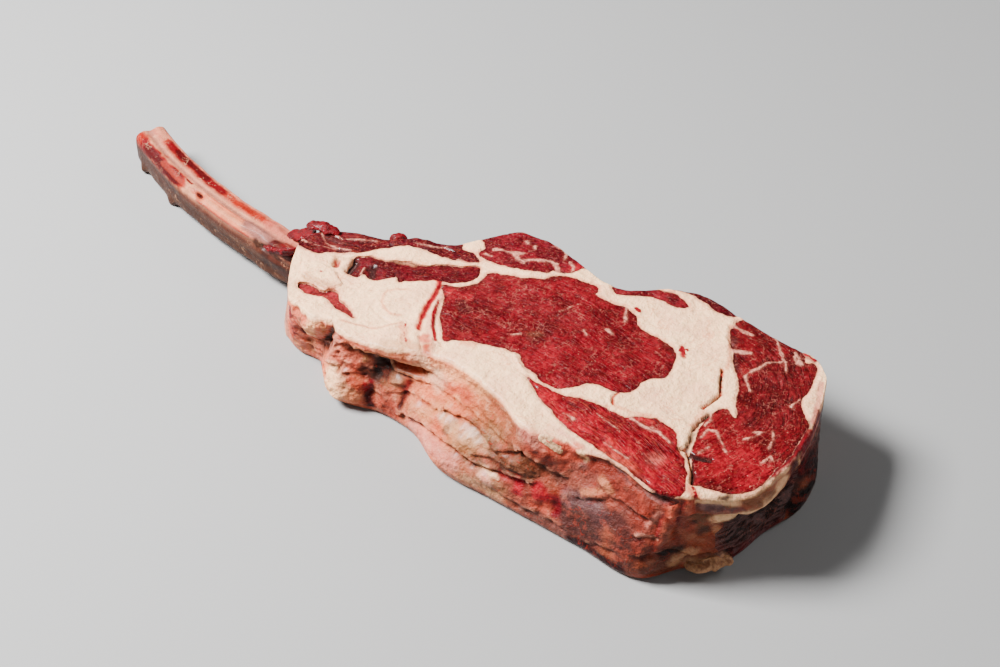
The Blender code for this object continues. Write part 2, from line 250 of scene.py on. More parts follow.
def insideDistance(places, outline):
    # distance to a closed outline, positive inside it: the sign counts crossings of a ray
    closed = np.vstack([outline, outline[:1]])
    best = np.full(len(places), 1e6)
    inside = np.zeros(len(places), dtype=bool)
    x, y = places[:, 0], places[:, 1]
    for (ax, ay), (bx, by) in zip(closed[:-1], closed[1:]):
        runX, runY = bx - ax, by - ay
        share = np.clip(((x - ax) * runX + (y - ay) * runY) / (runX**2 + runY**2 + 1e-12), 0.0, 1.0)
        best = np.minimum(best, (x - ax - share * runX) ** 2 + (y - ay - share * runY) ** 2)
        if ay != by:
            inside ^= ((ay > y) != (by > y)) & (x < ax + (y - ay) / (by - ay) * runX)
    return np.sqrt(best) * np.where(inside, 1.0, -1.0)


def withEnds(grid, parts, both):
    # the first ring, and the last where wanted, repeated smaller towards its middle
    def shrunk(ring, shares):
        return ring.mean(axis=0) + (ring - ring.mean(axis=0)) * np.array(shares)[:, None, None]

    rings = [shrunk(grid[0], parts), grid]
    if both:
        rings.append(shrunk(grid[-1], parts[::-1]))
    return np.concatenate(rings)


def held(places):
    # kept within the box of the CAD
    return np.clip(places, np.array(cadLow) / mm, np.array(cadHigh) / mm)


def closedTube(name, grid):
    # rings joined one to the next, with a triangle fan over each end
    rings, sides = grid.shape[:2]
    index = np.arange(rings * sides).reshape(rings, sides)
    after = np.roll(index, -1, axis=1)
    walls = np.stack([index[:-1], after[:-1], after[1:], index[1:]], axis=-1).reshape(-1, 4)
    first, last = rings * sides, rings * sides + 1
    startCap = np.stack([np.full(sides, first), after[0], index[0]], axis=-1)
    endCap = np.stack([np.full(sides, last), index[-1], after[-1]], axis=-1)
    places = held(np.vstack([grid.reshape(-1, 3), grid[0].mean(axis=0), grid[-1].mean(axis=0)]))
    faces = walls.tolist() + startCap.tolist() + endCap.tolist()
    middle = places[walls].mean(axis=1) - grid.reshape(-1, 3).mean(axis=0)
    across = np.cross(places[walls[:, 1]] - places[walls[:, 0]], places[walls[:, 3]] - places[walls[:, 0]])
    if np.einsum("ij,ij->", middle, across) < 0.0:
        faces = [face[::-1] for face in faces]
    mesh = bpy.data.meshes.new(name)
    mesh.from_pydata((places * mm).tolist(), [], faces)
    return mesh


def placesOf(mesh):
    # vertex places in millimetres
    flat = np.empty(len(mesh.vertices) * 3, dtype=np.float32)
    mesh.vertices.foreach_get("co", flat)
    return flat.reshape(-1, 3).astype(float) / mm


def keepField(mesh, name, values):
    # one number, vector or colour for each vertex, for the materials to read
    values = np.asarray(values, dtype=np.float32)
    kinds = {1: ("FLOAT", "value"), 3: ("FLOAT_VECTOR", "vector"), 4: ("FLOAT_COLOR", "color")}
    kind, key = kinds[values.size // len(values)]
    mesh.attributes.new(name, kind, "POINT").data.foreach_set(key, values.ravel())


def carved(item, steps):
    # applies a run of Booleans, each an operation and its cutter
    for operation, cutter in steps:
        step = item.modifiers.new(operation.lower(), "BOOLEAN")
        step.operation = operation
        step.solver = "MANIFOLD"
        step.object = cutter
    bpy.context.view_layer.update()
    done = bpy.data.meshes.new_from_object(item.evaluated_get(bpy.context.evaluated_depsgraph_get()))
    item.modifiers.clear()
    old = item.data
    item.data = done
    bpy.data.meshes.remove(old)


def drop(item):
    mesh = item.data
    bpy.data.objects.remove(item)
    bpy.data.meshes.remove(mesh)


def smoothed(mesh, degrees):
    mesh.shade_smooth()
    mesh.set_sharp_from_angle(angle=math.radians(degrees))


# the steak's outer form, with its folds and hollows; what lies on the front wall is given in
# thousandths of the wall's length and of its height going down
steak = dict(
    thinEnd=40.0, thickEnd=52.0, thickFrom=-70.0, thickRun=180.0,     # height of the cut face
    swell=0.9, swellLong=17.0, swellWide=13.0,                        # its slow waves
    footRound=4.0, usualRound=2.5, backLean=2.5,                      # roundings, and the back's slope
    tipShare=0.008, tipReach=0.07, endRings=(0.5, 0.86, 0.94),        # how the two tips close
    upperFrom=30.0,                                                   # cut-face strokes go no lower
    backRim=[(-53, -31), (-67, -8), (-71, 4), (-66, 16), (-52, 24), (-31, 28), (-16, 37), (1, 42),
             (13, 54), (27, 67), (43, 68), (68, 61), (90, 53), (101, 54), (118, 65), (135, 71),
             (158, 68), (188, 63), (207, 60), (217, 51)],
    frontRim=[(-53, -31), (-45, -39), (-30, -43), (-1, -47), (22, -44), (46, -39), (67, -42),
              (93, -50), (116, -60), (140, -55), (167, -58), (188, -62), (204, -52), (223, -37),
              (229, -15), (229, 0), (225, 26), (217, 51)],
    frontFoot=[(-61, -29), (-45, -36), (-29, -37), (-19, -47), (-4, -54), (21, -50), (40, -52),
               (68, -66), (100, -68), (127, -69), (150, -70), (188, -70), (199, -56), (215, -39),
               (222, -12), (229, 10), (228, 25), (218, 48)],
    # rounding of the front's upper rim along its length, as shares and millimetres
    rimRound=[(0.0, 2.5), (0.08, 4.0), (0.15, 3.0), (0.26, 3.0), (0.33, 5.0), (0.46, 4.5), (0.53, 2.5),
              (0.57, 1.4), (0.67, 1.4), (0.72, 3.0), (0.80, 3.6), (0.90, 3.0), (1.0, 2.5)],
    # lumps and hollows of the front: along, down, push outwards, reach along, reach up and down
    sideForms=[
        (80, 100, 3.4, 6, 160), (76, 320, 2.6, 5, 140),      # white roll below the rim at the bone end
        (108, 250, -4.5, 5, 240), (90, 550, -3, 7, 160),      # hollow beside the roll
        # beads
        (46, 70, 2.2, 3.5, 80), (64, 100, 2.2, 3.5, 80), (55, 240, 1.8, 3.5, 80), (28, 60, 1.6, 3, 80),
        (14, 100, -1.4, 3, 120), (56, 420, -2, 3, 100),
        (40, 600, 1.6, 7, 240),      # thin edge beside the bone
        (126, 300, 2.2, 4, 220),      # grey fin
        (200, 20, 3, 22, 60), (240, 80, 2.2, 14, 60),      # overhanging ledge
        # recess under the ledge
        (190, 300, -5.5, 13, 130), (205, 500, -5, 11, 140), (240, 260, -4, 12, 60),
        (232, 490, 2.4, 6, 90), (254, 660, -3.4, 5, 140), (207, 800, -3, 5, 100),      # lump in the recess
        # beads in the recess
        (188, 240, 1.8, 3, 50), (178, 310, 2, 3, 50), (186, 430, 2, 3, 50), (170, 400, 1.4, 3, 60),
        # white lobe at the foot
        (150, 700, 3.8, 12, 260), (172, 900, 2.6, 12, 140), (140, 450, 1.2, 6, 100),
        # folded tan lobe, from left to right
        (275, 660, 3.2, 12, 130), (320, 560, 3, 13, 130), (348, 550, -1.4, 4, 80), (375, 540, 2.8, 12, 110),
        (440, 460, 3, 14, 100),
        (330, 220, 1.6, 26, 100), (420, 160, 1.8, 22, 100),      # membranes above it
        (340, 900, 1.8, 26, 100), (385, 800, 0.8, 8, 60),      # smooth skin at the foot
        (430, 760, 2.6, 8, 90),      # white knob
        (500, 160, 2.2, 14, 140),      # shoulder under the muscle's edge
        (528, 740, -2.2, 6, 100), (495, 660, 1.4, 10, 100),      # bruise
        (535, 20, 1.6, 7, 50), (536, 130, -1.6, 3, 40),      # white flap
        (578, 230, 1.8, 5, 60), (562, 380, 1.8, 7, 50),      # peach ridge on the silverskin
        # groove under the cut edge of the muscle
        (610, 60, -3.2, 24, 55), (655, 50, -3, 7, 70), (590, 580, 1.4, 18, 160),
        # upright fold at the corner
        (672, 400, 2.8, 5, 320), (690, 80, 2.6, 4, 100), (652, 580, 1.2, 6, 120),
        (706, 360, -1.8, 6, 120), (690, 880, 1.8, 12, 100),      # hollow past the corner
        (745, 950, 4, 9, 80),      # scrap of fat at the foot
        (770, 120, 2.2, 14, 90), (830, 120, 1, 9, 120),      # rim of tan fat
        # dark hollow at the far end
        (800, 550, -6.5, 22, 220), (860, 500, -5, 16, 220), (905, 860, 1.2, 10, 120),
    ],
    # folds of the front: lift above the line, reach of the lift, depth below it, reach of the depth,
    # then the line from left to right
    sideFolds=[
        (1.6, 2.2, 2.2, 1.8, 135, 90, 165, 100, 200, 150, 235, 190, 262, 210),
        (1.2, 1.6, 1.4, 1.4, 205, 240, 212, 330, 225, 370, 250, 370, 272, 350),
        (0.5, 2, 1.2, 1, 252, 600, 262, 560, 280, 520, 305, 500),
        (1, 2.6, 1.8, 1.1, 325, 450, 345, 410, 362, 370, 388, 385, 405, 425, 422, 430, 436, 360, 448, 310,
         455, 230), (0.9, 2.4, 1.6, 1.1, 455, 230, 468, 230, 485, 280, 498, 360, 520, 370),
        (1.3, 3, 2.2, 1.5, 262, 870, 278, 790, 300, 750, 330, 705, 360, 670, 382, 680, 400, 705, 420, 660,
         440, 615, 460, 575, 478, 560), (0.7, 1.4, 0.9, 1, 400, 600, 415, 540, 435, 500, 460, 470, 482, 480),
        (0.5, 1.2, 0.6, 0.9, 410, 480, 430, 440, 460, 410, 480, 420),
        (0.5, 1.8, 0.4, 1.2, 270, 300, 310, 300, 350, 270, 400, 300, 430, 270),
        (0.4, 1.8, 0.35, 1.2, 260, 150, 300, 200, 350, 170, 400, 200),
        (0.8, 1.6, 1.2, 1, 556, 490, 568, 440, 580, 385, 587, 330, 605, 305, 645, 280),
        (0.6, 2, 0.8, 1.2, 455, 870, 480, 900, 520, 870, 550, 900),
        (0.8, 1.6, 1, 1, 640, 520, 648, 480, 660, 470), (0.8, 1.2, 1, 1, 585, 900, 595, 840, 610, 820),
        (0.7, 2, 1.6, 1.6, 655, 720, 675, 660, 700, 720, 715, 800),
        (0.9, 1.6, 1, 1.2, 675, 220, 700, 200, 720, 170, 745, 160),
        (0, 1, 2.6, 1.6, 715, 860, 745, 840, 775, 860),
        (1.2, 2.2, 2, 2.2, 765, 200, 800, 190, 840, 300, 870, 400),
    ],
    # upright creases of the front: depth, width, then the line from top to bottom
    sideCreases=[
        (1.6, 1, 662, 100, 660, 350, 664, 620, 658, 800), (1.6, 1.1, 683, 20, 681, 200, 686, 450, 696, 600),
        (1.4, 0.9, 698, 20, 701, 160), (0.4, 0.8, 478, 20, 482, 140, 479, 240),
        (0.4, 0.8, 497, 20, 499, 160, 496, 300), (0.4, 0.8, 515, 40, 512, 200),
        (0.6, 1.2, 530, 450, 524, 620, 532, 800), (1, 1, 344, 460, 346, 620), (0.5, 0.8, 388, 500, 384, 640),
        (0.4, 0.7, 366, 480, 364, 620), (1.4, 1, 206, 660, 204, 840, 209, 980),
        (1, 1.2, 100, 620, 94, 800, 90, 980), (0.9, 1, 66, 500, 64, 750, 68, 950),
    ],
    # plate of fat that overhangs the slit
    plateHeight=1.3,
    plate=[(-58, -12), (-53, -19), (-42, -21.5), (-33, -23.5), (-29.5, -20), (-28, -16), (-38, -9),
           (-50, -8)],
    # cracks, gaps and ridges of the cut face: height, half width, then the line
    topLines=[
        (-1.3, 1.2, 19, 6, 20.5, 0, 22, -6, 24, -14, 26.5, -21, 29.5, -26),
        (1, 0.9, 24, -3, 27, -12, 32, -20, 38, -28, 43, -36),
        (-0.7, 0.9, 28.5, -9, 33, -18, 39, -25, 46, -31), (-1.3, 1, 31, -29, 36, -35, 41, -41),
        (-2.6, 0.7, 172, 27, 176, 19, 179.5, 12, 178, 6, 176.5, 0),
        (-2.4, 0.8, 181, -3, 180, -10, 180.5, -17), (-2.2, 1, 181.5, -19, 183, -24, 184, -29),
        (-3.6, 1.3, 182, -29.5, 189, -31.5, 196, -29.5), (-2.8, 0.9, 186, -31, 190, -36, 194, -41, 197, -47),
        (-1.4, 0.7, 138.5, -15, 138, -19, 140, -22.5), (-2.8, 1.7, -43.5, -1, -42, -4),
        (-3, 1.8, -35, 4, -33.5, -4), (-1.6, 2, -24, 5, -20, -1), (1.2, 1, -27.5, 2, -25.5, -4),
        (0.9, 0.9, -5, 9, -4, 5, -3, 1), (-0.35, 0.5, -4, -10, -5, -18, -1, -25, 7, -28, 15, -28, 22, -24),
        (-0.3, 0.6, 0, -36, 12, -38.5, 24, -38), (0.5, 0.6, 81, -19, 88, -24.5, 96, -29.5, 105, -33),
        (-1.2, 1.2, 164, 49, 168, 45), (0.4, 1, -66, 19, -60, 16, -50, 16, -40, 21),
        (-0.4, 1.3, -64, 12, -55, 11, -47, 12, -40, 16), (0.3, 0.9, -62, 8, -52, 9, -44, 11),
        (0.35, 0.8, 110, -40, 125, -47.5, 145, -51.5, 165, -56, 185, -61),
    ],
    # swellings and dips of the cut face: X, Y, height, reach
    topForms=[
        (-27, 31, 1.6, 3.5), (-18, 35, 0.8, 4), (-11, 37, 0.9, 3), (-4, 39, 0.7, 3), (-30, -37, 1, 7),
        (-10, -41, 0.9, 8), (14, -38, 0.7, 7), (8, -18, 0.4, 10), (165, 22, 0.5, 14), (186, 8, 0.7, 5),
        (60, 10, -0.5, 16), (110, 5, 0.6, 20), (-48, -10, 0.5, 8), (32, -42, -0.8, 6),
    ],
)
frontLength = lengthOf(steak["frontRim"])
sideHeight = 45.0
perMille = 1000.0


def topHeight(x, y):
    # thin at the bone and thicker at the far end by an eased step, with a slow swell
    rise = ease((x - steak["thickFrom"]) / steak["thickRun"])
    height = steak["thinEnd"] + (steak["thickEnd"] - steak["thinEnd"]) * rise
    waves = steak["swell"] * np.sin(x / steak["swellLong"] + 0.6)
    return height + waves * np.cos(y / steak["swellWide"] + 0.4)


def topRelief(x, y):
    # noise, furrows where a noise passes nought, the plate of fat as an eased step, swellings as
    # Gaussians, and cracks and ridges as Gaussian sections along their lines
    relief = 0.42 * flatField(x, y, 13.0, 3) + 0.16 * flatField(x, y, 3.4, 5)
    relief = 1.6 * relief - 0.4 * bell(flatField(x, y, 15.0, 7) / 0.10) * ease(flatField(x, y, 22.0, 9) + 0.5)
    places = np.stack([x.ravel(), y.ravel()], axis=1)
    plate = insideDistance(places, np.array(steak["plate"])).reshape(x.shape)
    raised = steak["plateHeight"] * ease((plate + 0.4) / 1.2)
    relief = relief + raised * np.exp(-np.maximum(plate - 2.0, 0.0) / 8.0)
    for atX, atY, height, reach in steak["topForms"]:
        relief = relief + height * np.exp(-((x - atX) ** 2 + (y - atY) ** 2) / reach**2)
    wander = 0.5 * flatField(x, y, 3.0, 11).ravel()
    for height, half, *numbers in steak["topLines"]:
        line = pairs(numbers)
        near = nearby(places, line, 6.0)
        far = lineDistance(places[near], line)[0] + wander[near]
        relief.ravel()[near] += height * np.exp(-np.maximum(far, 0.0) ** 2 / half**2)
    return relief


def frontRelief(share, down):
    # sum of Gaussian lumps, folds with a soft upper and a steep lower side, creases, and noise that
    # is folded into crags by its absolute value where the surface is torn
    share, down = np.broadcast_arrays(share, down)
    push = np.zeros(share.shape)
    for at, level, height, reach, spread in steak["sideForms"]:
        push += height * bell((share - at / perMille) * frontLength / reach,
                              (down - level / perMille) / (spread / perMille))
    scale = np.array([frontLength, sideHeight])
    places = np.stack([share.ravel(), down.ravel()], axis=1) * scale
    wander = 0.7 * flatField(places[:, 0], places[:, 1], 5.0, 21)
    fold = np.zeros(len(places))
    for lift, above, depth, below, *numbers in steak["sideFolds"]:
        far, signed = lineDistance(places, pairs(numbers) / perMille * scale)
        signed = signed + wander * bell(far / 6.0)
        under = ease(signed / 3.4 + 0.5)
        ends = bell(np.maximum(far - np.abs(signed), 0))
        fold += 1.15 * lift * bell(signed / above) * (1.0 - under) * ends
        fold -= depth * bell((signed - 1.2) / (2.1 * below)) * under * ends
    for depth, half, *numbers in steak["sideCreases"]:
        far = lineDistance(places, pairs(numbers) / perMille * scale)[0]
        fold -= 0.7 * depth * bell(np.maximum(far + 0.6 * wander, 0.0) / (2.2 * half))
    push += fold.reshape(share.shape)
    long, tall = share * frontLength, down * sideHeight
    push += 0.45 * flatField(long / 1.8, tall, 6.0, 31) + 0.25 * flatField(long / 1.3, tall, 2.4, 33)
    torn = 0.25 + bell((share - 0.13) / 0.10) + 0.5 * bell((share - 0.50) / 0.05)
    push += torn * (0.5 - 1.6 * np.abs(flatField(long / 1.2, tall, 5.5, 35)))
    push += 0.5 * torn * (0.4 - 1.4 * np.abs(flatField(long, tall, 2.8, 37)))
    wavy = np.sin((long - 0.8 * tall) * 1.05 + 2.6 * flatField(long, tall, 9.0, 39))
    push += 0.17 * wavy * bell((share - 0.37) / 0.09, (down - 0.50) / 0.16)
    fade = ease(share / 0.04) * ease((1.0 - share) / 0.05)
    return push * fade * ease((1.0 - down) / 0.05 + 0.25)


def backRelief(share, down):
    # long shallow folds and noise
    share, down = np.broadcast_arrays(share, down)
    long, tall = share * frontLength, down * sideHeight
    push = 0.9 * flatField(long / 2.0, tall, 11.0, 41) + 0.4 * flatField(long / 2.4, tall, 4.0, 43)
    folded = np.sin(tall / 3.1 + 2.0 * flatField(long, tall, 26.0, 45))
    push += 0.5 * folded * ease(flatField(long, tall, 30.0, 47) + 0.5)
    push = (push - 0.6) * ease(share / 0.04) * ease((1.0 - share) / 0.04)
    return push * ease(down / 0.1) * ease((1.0 - down) / 0.06 + 0.25)


def steakGrid(stations, topRows, frontRows, backRows, baseRows, roundRows):
    # rings across the steak, one for each share of the rims: up the front wall, over the rounded rim,
    # across the cut face, down the back and along the base; walls run from rim to foot by an eased
    # blend, pushed out along the rim's own outward direction by the relief
    even = np.linspace(0.0, 1.0, stations)
    tip = steak["tipShare"]
    share = tip + (1.0 - 2.0 * tip) * 0.5 * (even + 0.5 - 0.5 * np.cos(math.pi * even))
    back, front, frontFoot = (along(steak[name], share) for name in ("backRim", "frontRim", "frontFoot"))
    width = np.linalg.norm(front - back, axis=1)[:, None]
    across = (front - back) / width
    nearTip = 1.0 - ease(share / steak["tipReach"])[:, None]
    farTip = 1.0 - ease((1.0 - share) / steak["tipReach"])[:, None]
    lean = (np.array(steak["frontFoot"][0]) - steak["frontRim"][0]) * nearTip
    lean = lean + (np.array(steak["frontFoot"][-1]) - steak["frontRim"][-1]) * farTip
    backFoot = back + lean - across * steak["backLean"] * (1.0 - nearTip) * (1.0 - farTip)
    footWidth = np.linalg.norm(frontFoot - backFoot, axis=1)[:, None]
    footAcross = (frontFoot - backFoot) / footWidth
    foot = np.minimum(steak["footRound"], 0.4 * footWidth)
    knots = np.array(steak["rimRound"])
    frontRound = np.minimum(np.interp(share, knots[:, 0], knots[:, 1])[:, None], 0.4 * width)
    backRound = np.minimum(steak["usualRound"], 0.4 * width)
    angle = np.linspace(0.0, 0.5 * math.pi, roundRows + 1)[1:]
    inTo, upTo = 1.0 - np.cos(angle), np.sin(angle)[None, :]

    def wall(upper, lower, outward, roundness, rows, relief):
        down = np.linspace(0.0, 1.0, rows)
        push = relief(share[:, None], down[None, :])
        flat = upper[:, None] + (lower - upper)[:, None] * ease(down)[None, :, None]
        flat = flat + outward[:, None] * push[..., None]
        top = topHeight(upper[:, 0], upper[:, 1])[:, None] - roundness
        height = top + (foot - top) * down[None, :]
        return np.concatenate([flat, height[..., None]], axis=2)

    def arc(edge, inward, roundness, heightOf):
        # quarter turn from the edge of a wall to a level face
        flat = edge[:, None] + inward[:, None] * roundness[:, None] * inTo[None, :, None]
        return np.concatenate([flat, heightOf(flat[..., 0], flat[..., 1], roundness)[..., None]], axis=2)

    def rimHeight(x, y, roundness):
        return topHeight(x, y) - roundness * (1.0 - upTo) + topRelief(x, y) * ease(upTo)

    def footHeight(x, y, roundness):
        return roundness * (1.0 - upTo)

    def between(first, last, rows):
        step = np.linspace(0.0, 1.0, rows + 2)[1:-1][None, :, None]
        return first * (1.0 - step) + last * step

    outward = rightOf(np.gradient(front, axis=0))
    frontWall = wall(front, frontFoot, outward, frontRound, frontRows, frontRelief)
    backWall = wall(back, backFoot, -rightOf(np.gradient(back, axis=0)), backRound, backRows, backRelief)
    frontTop = arc(frontWall[:, 0, :2], -across, frontRound, rimHeight)
    backTop = arc(backWall[:, 0, :2], across, backRound, rimHeight)
    frontBase = arc(frontWall[:, -1, :2], -footAcross, foot, footHeight)
    backBase = arc(backWall[:, -1, :2], footAcross, foot, footHeight)
    flat = between(frontTop[:, -1:, :2], backTop[:, -1:, :2], topRows)
    height = topHeight(flat[..., 0], flat[..., 1]) + topRelief(flat[..., 0], flat[..., 1])
    top = np.concatenate([flat, height[..., None]], axis=2)
    base = between(backBase[:, -1:], frontBase[:, -1:], baseRows)
    rings = np.concatenate([frontWall[:, ::-1], frontTop, top, backTop[:, ::-1], backWall,
                            backBase, base, frontBase[:, ::-1]], axis=1)
    return withEnds(rings, steak["endRings"], True)


def onFront(spots):
    # places on the front wall for shares of its length and height, with the relief
    rim, foot = along(steak["frontRim"], spots[:, 0]), along(steak["frontFoot"], spots[:, 0])
    fine = along(steak["frontRim"], np.linspace(0.0, 1.0, 400))
    outward = rightOf(np.gradient(fine, axis=0))[np.round(spots[:, 0] * 399).astype(int)]
    push = frontRelief(spots[:, 0], spots[:, 1])
    flat = rim + (foot - rim) * ease(spots[:, 1])[:, None] + outward * push[:, None]
    top = topHeight(rim[:, 0], rim[:, 1]) - steak["usualRound"]
    height = top + (steak["footRound"] - top) * spots[:, 1]
    return np.column_stack([flat, height])


def onFrontWall(spots):
    # the same for thousandths
    return onFront(spots / perMille)


def onTop(spots):
    # places on the flattened cut face
    return np.column_stack([spots, np.zeros(len(spots))])


def flattened(places):
    # the same places, with their height over the cut face in place of Z
    x, y = places[:, 0], places[:, 1]
    return np.column_stack([x, y, places[:, 2] - topHeight(x, y) - topRelief(x, y)])


# muscles: outlines on the cut face, X and Y in turn, carried straight down
muscles = dict(
    ragged=0.7, raggedSize=4.2, step=0.8,      # unevenness of the outlines, millimetres
    floor=-10.0, ceiling=80.0,                 # height of the cutters' ends
    outlines={
        "eye_muscle": [
            33, 30, 40, 32, 50, 33.5, 57, 36, 62, 38, 65, 43, 72, 46, 80, 46.5, 88, 47.5, 91, 44, 91, 41.5,
            98, 41, 110, 41, 117, 38.5, 123, 32.5, 133, 31, 142, 29, 148, 24, 151.5, 15, 152, 8, 147, 2,
            144, -3, 144, -9, 140, -14, 133, -15.5, 126, -16, 120, -22, 115, -27, 106, -29, 96, -26, 88, -22,
            82, -17.5, 70, -19, 60, -20.5, 50, -25, 45, -27.5, 38, -20, 32, -13, 27.5, -4, 24, 2, 19, 7,
            20, 10.5, 27, 12, 32, 18, 33.5, 25],
        "cap_muscle": [
            161, 57, 162, 66, 175, 72, 190, 70, 200, 60, 203, 54.5, 207, 56, 210.5, 53, 212, 46, 214, 38,
            214, 30, 217, 24, 221, 20.5, 224.5, 16, 225.5, 8, 226, 0, 226.5, -8, 225.5, -15, 224.5, -22,
            224, -29, 221.5, -36, 216, -41, 209, -44, 201, -46, 197.5, -47.5, 194, -42, 190, -35, 186.5, -30,
            184, -20, 182, -12, 181.5, -5, 183, 2, 187, 5, 193, 2, 191, 6, 188, 11, 186, 17, 183, 24, 176, 31,
            171, 39, 166, 46, 163, 51],
        "flank_muscle": [
            96, -30, 104, -30.5, 112, -30, 120, -29, 128, -27, 140, -26.5, 149, -26, 154, -22.5, 162, -20,
            170, -20, 175, -22.5, 178, -27.5, 183, -33, 188, -37, 192, -43, 195, -49, 196.5, -54, 193, -59.5,
            186, -61, 178, -59.5, 168, -56.5, 158, -53.5, 146, -51, 136, -49, 126, -46, 117, -41.5,
            110, -39.5, 103, -35],
        "inner_muscle": [
            -37, 7, -30, 11.5, -24, 12, -19, 13, -14, 16, -8, 18.5, 0, 20, 5, 23.5, 11, 27, 18, 29, 25, 32.5,
            28.5, 28, 30, 22, 28, 17, 23, 13, 18, 11, 12, 10, 9, 7.5, 4, 5, -1, 3, -3, 0.5, -6, 1.5, -8, 3,
            -11, 0, -15, -3.5, -20, -4, -24, -2.5, -26, -5.5, -32, -5.5, -35, -3, -36, 2],
        "rib_muscle": [
            -78, 0, -68, -2.2, -57, -2, -53, 2, -47, 5, -42, 8, -37.5, 10, -32, 17, -26, 22, -19, 27,
            -12, 29.5, -4, 30, 4, 30, 12, 31, 20, 33, 23.5, 35, 20, 38.5, 15, 41, 9, 41.5, 4, 46, -16, 46,
            -31, 40, -52, 34, -76, 28],
        "lobe_muscle": [
            14, 51, 8, 58, 22, 76, 50, 78, 74, 68, 77, 59, 73.5, 56, 72, 51, 69, 47.5, 65, 45.5, 62, 46,
            60, 42.5, 54, 41, 48, 39.5, 42, 38, 34, 37.5, 27, 38, 21, 39.5, 18, 42, 18, 47],
        "oval_muscle": [
            95, 50, 96, 57, 106, 64, 116, 63, 124, 63.5, 132, 61.5, 136, 58.5, 133, 55.5, 126, 55, 118, 55.5,
            112, 54, 107, 50.5, 102, 48.5],
        "edge_muscle": [
            121, 67, 123, 78, 142, 80, 154, 77, 158, 67, 154, 64, 150, 63, 145, 64.5, 138, 66.5, 130, 67.5],
        "slit_muscle": [
            -50, -26, -46, -23.5, -40, -23.5, -34, -24, -30, -20.5, -27, -22, -20, -26.5, -12, -30.5,
            -5, -34.5, -8, -36, -14, -34.5, -20, -32.5, -27, -30, -34, -29.5, -38, -31, -42, -31.5, -46, -30],
    },
)


def raggedOutline(name):
    # smooth outline, each point moved along its own normal by noise
    outline = evenly(closedOutline(pairs(muscles["outlines"][name]), 8), muscles["step"])
    normal = rightOf(np.roll(outline, -1, axis=0) - np.roll(outline, 1, axis=0))
    swing = flatField(outline[:, 0], outline[:, 1], muscles["raggedSize"], 60 + len(name), 3)
    return outline + normal * (muscles["ragged"] * swing)[:, None]


def uprightPrism(name, outline):
    # outline carried from below the steak to above it
    count = len(outline)
    low = np.column_stack([outline, np.full(count, muscles["floor"])])
    high = np.column_stack([outline, np.full(count, muscles["ceiling"])])
    index = np.arange(count)
    after = np.roll(index, -1)
    walls = np.stack([index, after, after + count, index + count], axis=-1).tolist()
    x, y = outline[:, 0], outline[:, 1]
    turning = np.sum(x * np.roll(y, -1) - y * np.roll(x, -1))
    faces = walls + [index[::-1].tolist(), (index + count).tolist()]
    if turning < 0.0:
        faces = [face[::-1] for face in faces]
    mesh = bpy.data.meshes.new(name)
    mesh.from_pydata((np.vstack([low, high]) * mm).tolist(), [], faces)
    return addItem(name, mesh)


# base colours in linear light, richer than they look, because the view transform softens them
tones = dict(
    milk=(0.950, 0.620, 0.360), cream=(0.940, 0.550, 0.290), blush=(0.672, 0.354, 0.208),
    shell=(0.616, 0.251, 0.169), peach=(0.640, 0.211, 0.101), salmon=(0.432, 0.055, 0.029),
    rose=(0.535, 0.164, 0.117), sand=(0.501, 0.252, 0.125), khaki=(0.336, 0.188, 0.093),
    fawn=(0.223, 0.092, 0.047), hazel=(0.124, 0.046, 0.023), umber=(0.036, 0.014, 0.010),
    # the near-black tone is painted shade, laid in cracks, slits and the deepest hollows
    shadeBlack=(0.015, 0.007, 0.006), rust=(0.294, 0.014, 0.004), scarlet=(0.262, 0.003, 0.010),
    crimson=(0.142, 0.002, 0.006), blood=(0.052, 0.004, 0.005), mauve=(0.258, 0.134, 0.125),
    silver=(0.201, 0.124, 0.131), plum=(0.112, 0.050, 0.051),
)
tones = {name: np.array(colour) for name, colour in tones.items()}


def blendTone(colours, tone, mask):
    colours[..., :3] += (tone - colours[..., :3]) * mask[..., None]


# shares of a stroke's reach: how far it goes at most, how far noise moves its edge, where it is
# full, and over what it fades
airbrush = dict(limit=2.2, ragged=0.42, full=0.45, fade=1.05)


def brush(colours, places, strokes, placed):
    # each stroke blends its tone in by a mask that is full near its line and fades out by an eased
    # step, with the distance moved by noise so that its edge is broken
    for tone, radius, strength, *numbers in strokes:
        line = placed(pairs(numbers))
        near = nearby(places, line, airbrush["limit"] * radius)
        if len(near) == 0:
            continue
        far = lineDistance(places[near], line)[0]
        seed = int(radius * 10) + len(line)
        far = far + airbrush["ragged"] * radius * roughField(places[near], 0.9 * radius + 1.0, seed, 3)
        mask = strength * (1.0 - ease((far - airbrush["full"] * radius) / (airbrush["fade"] * radius)))
        colours[near, :3] += (tones[tone] - colours[near, :3]) * mask[:, None]
    return colours


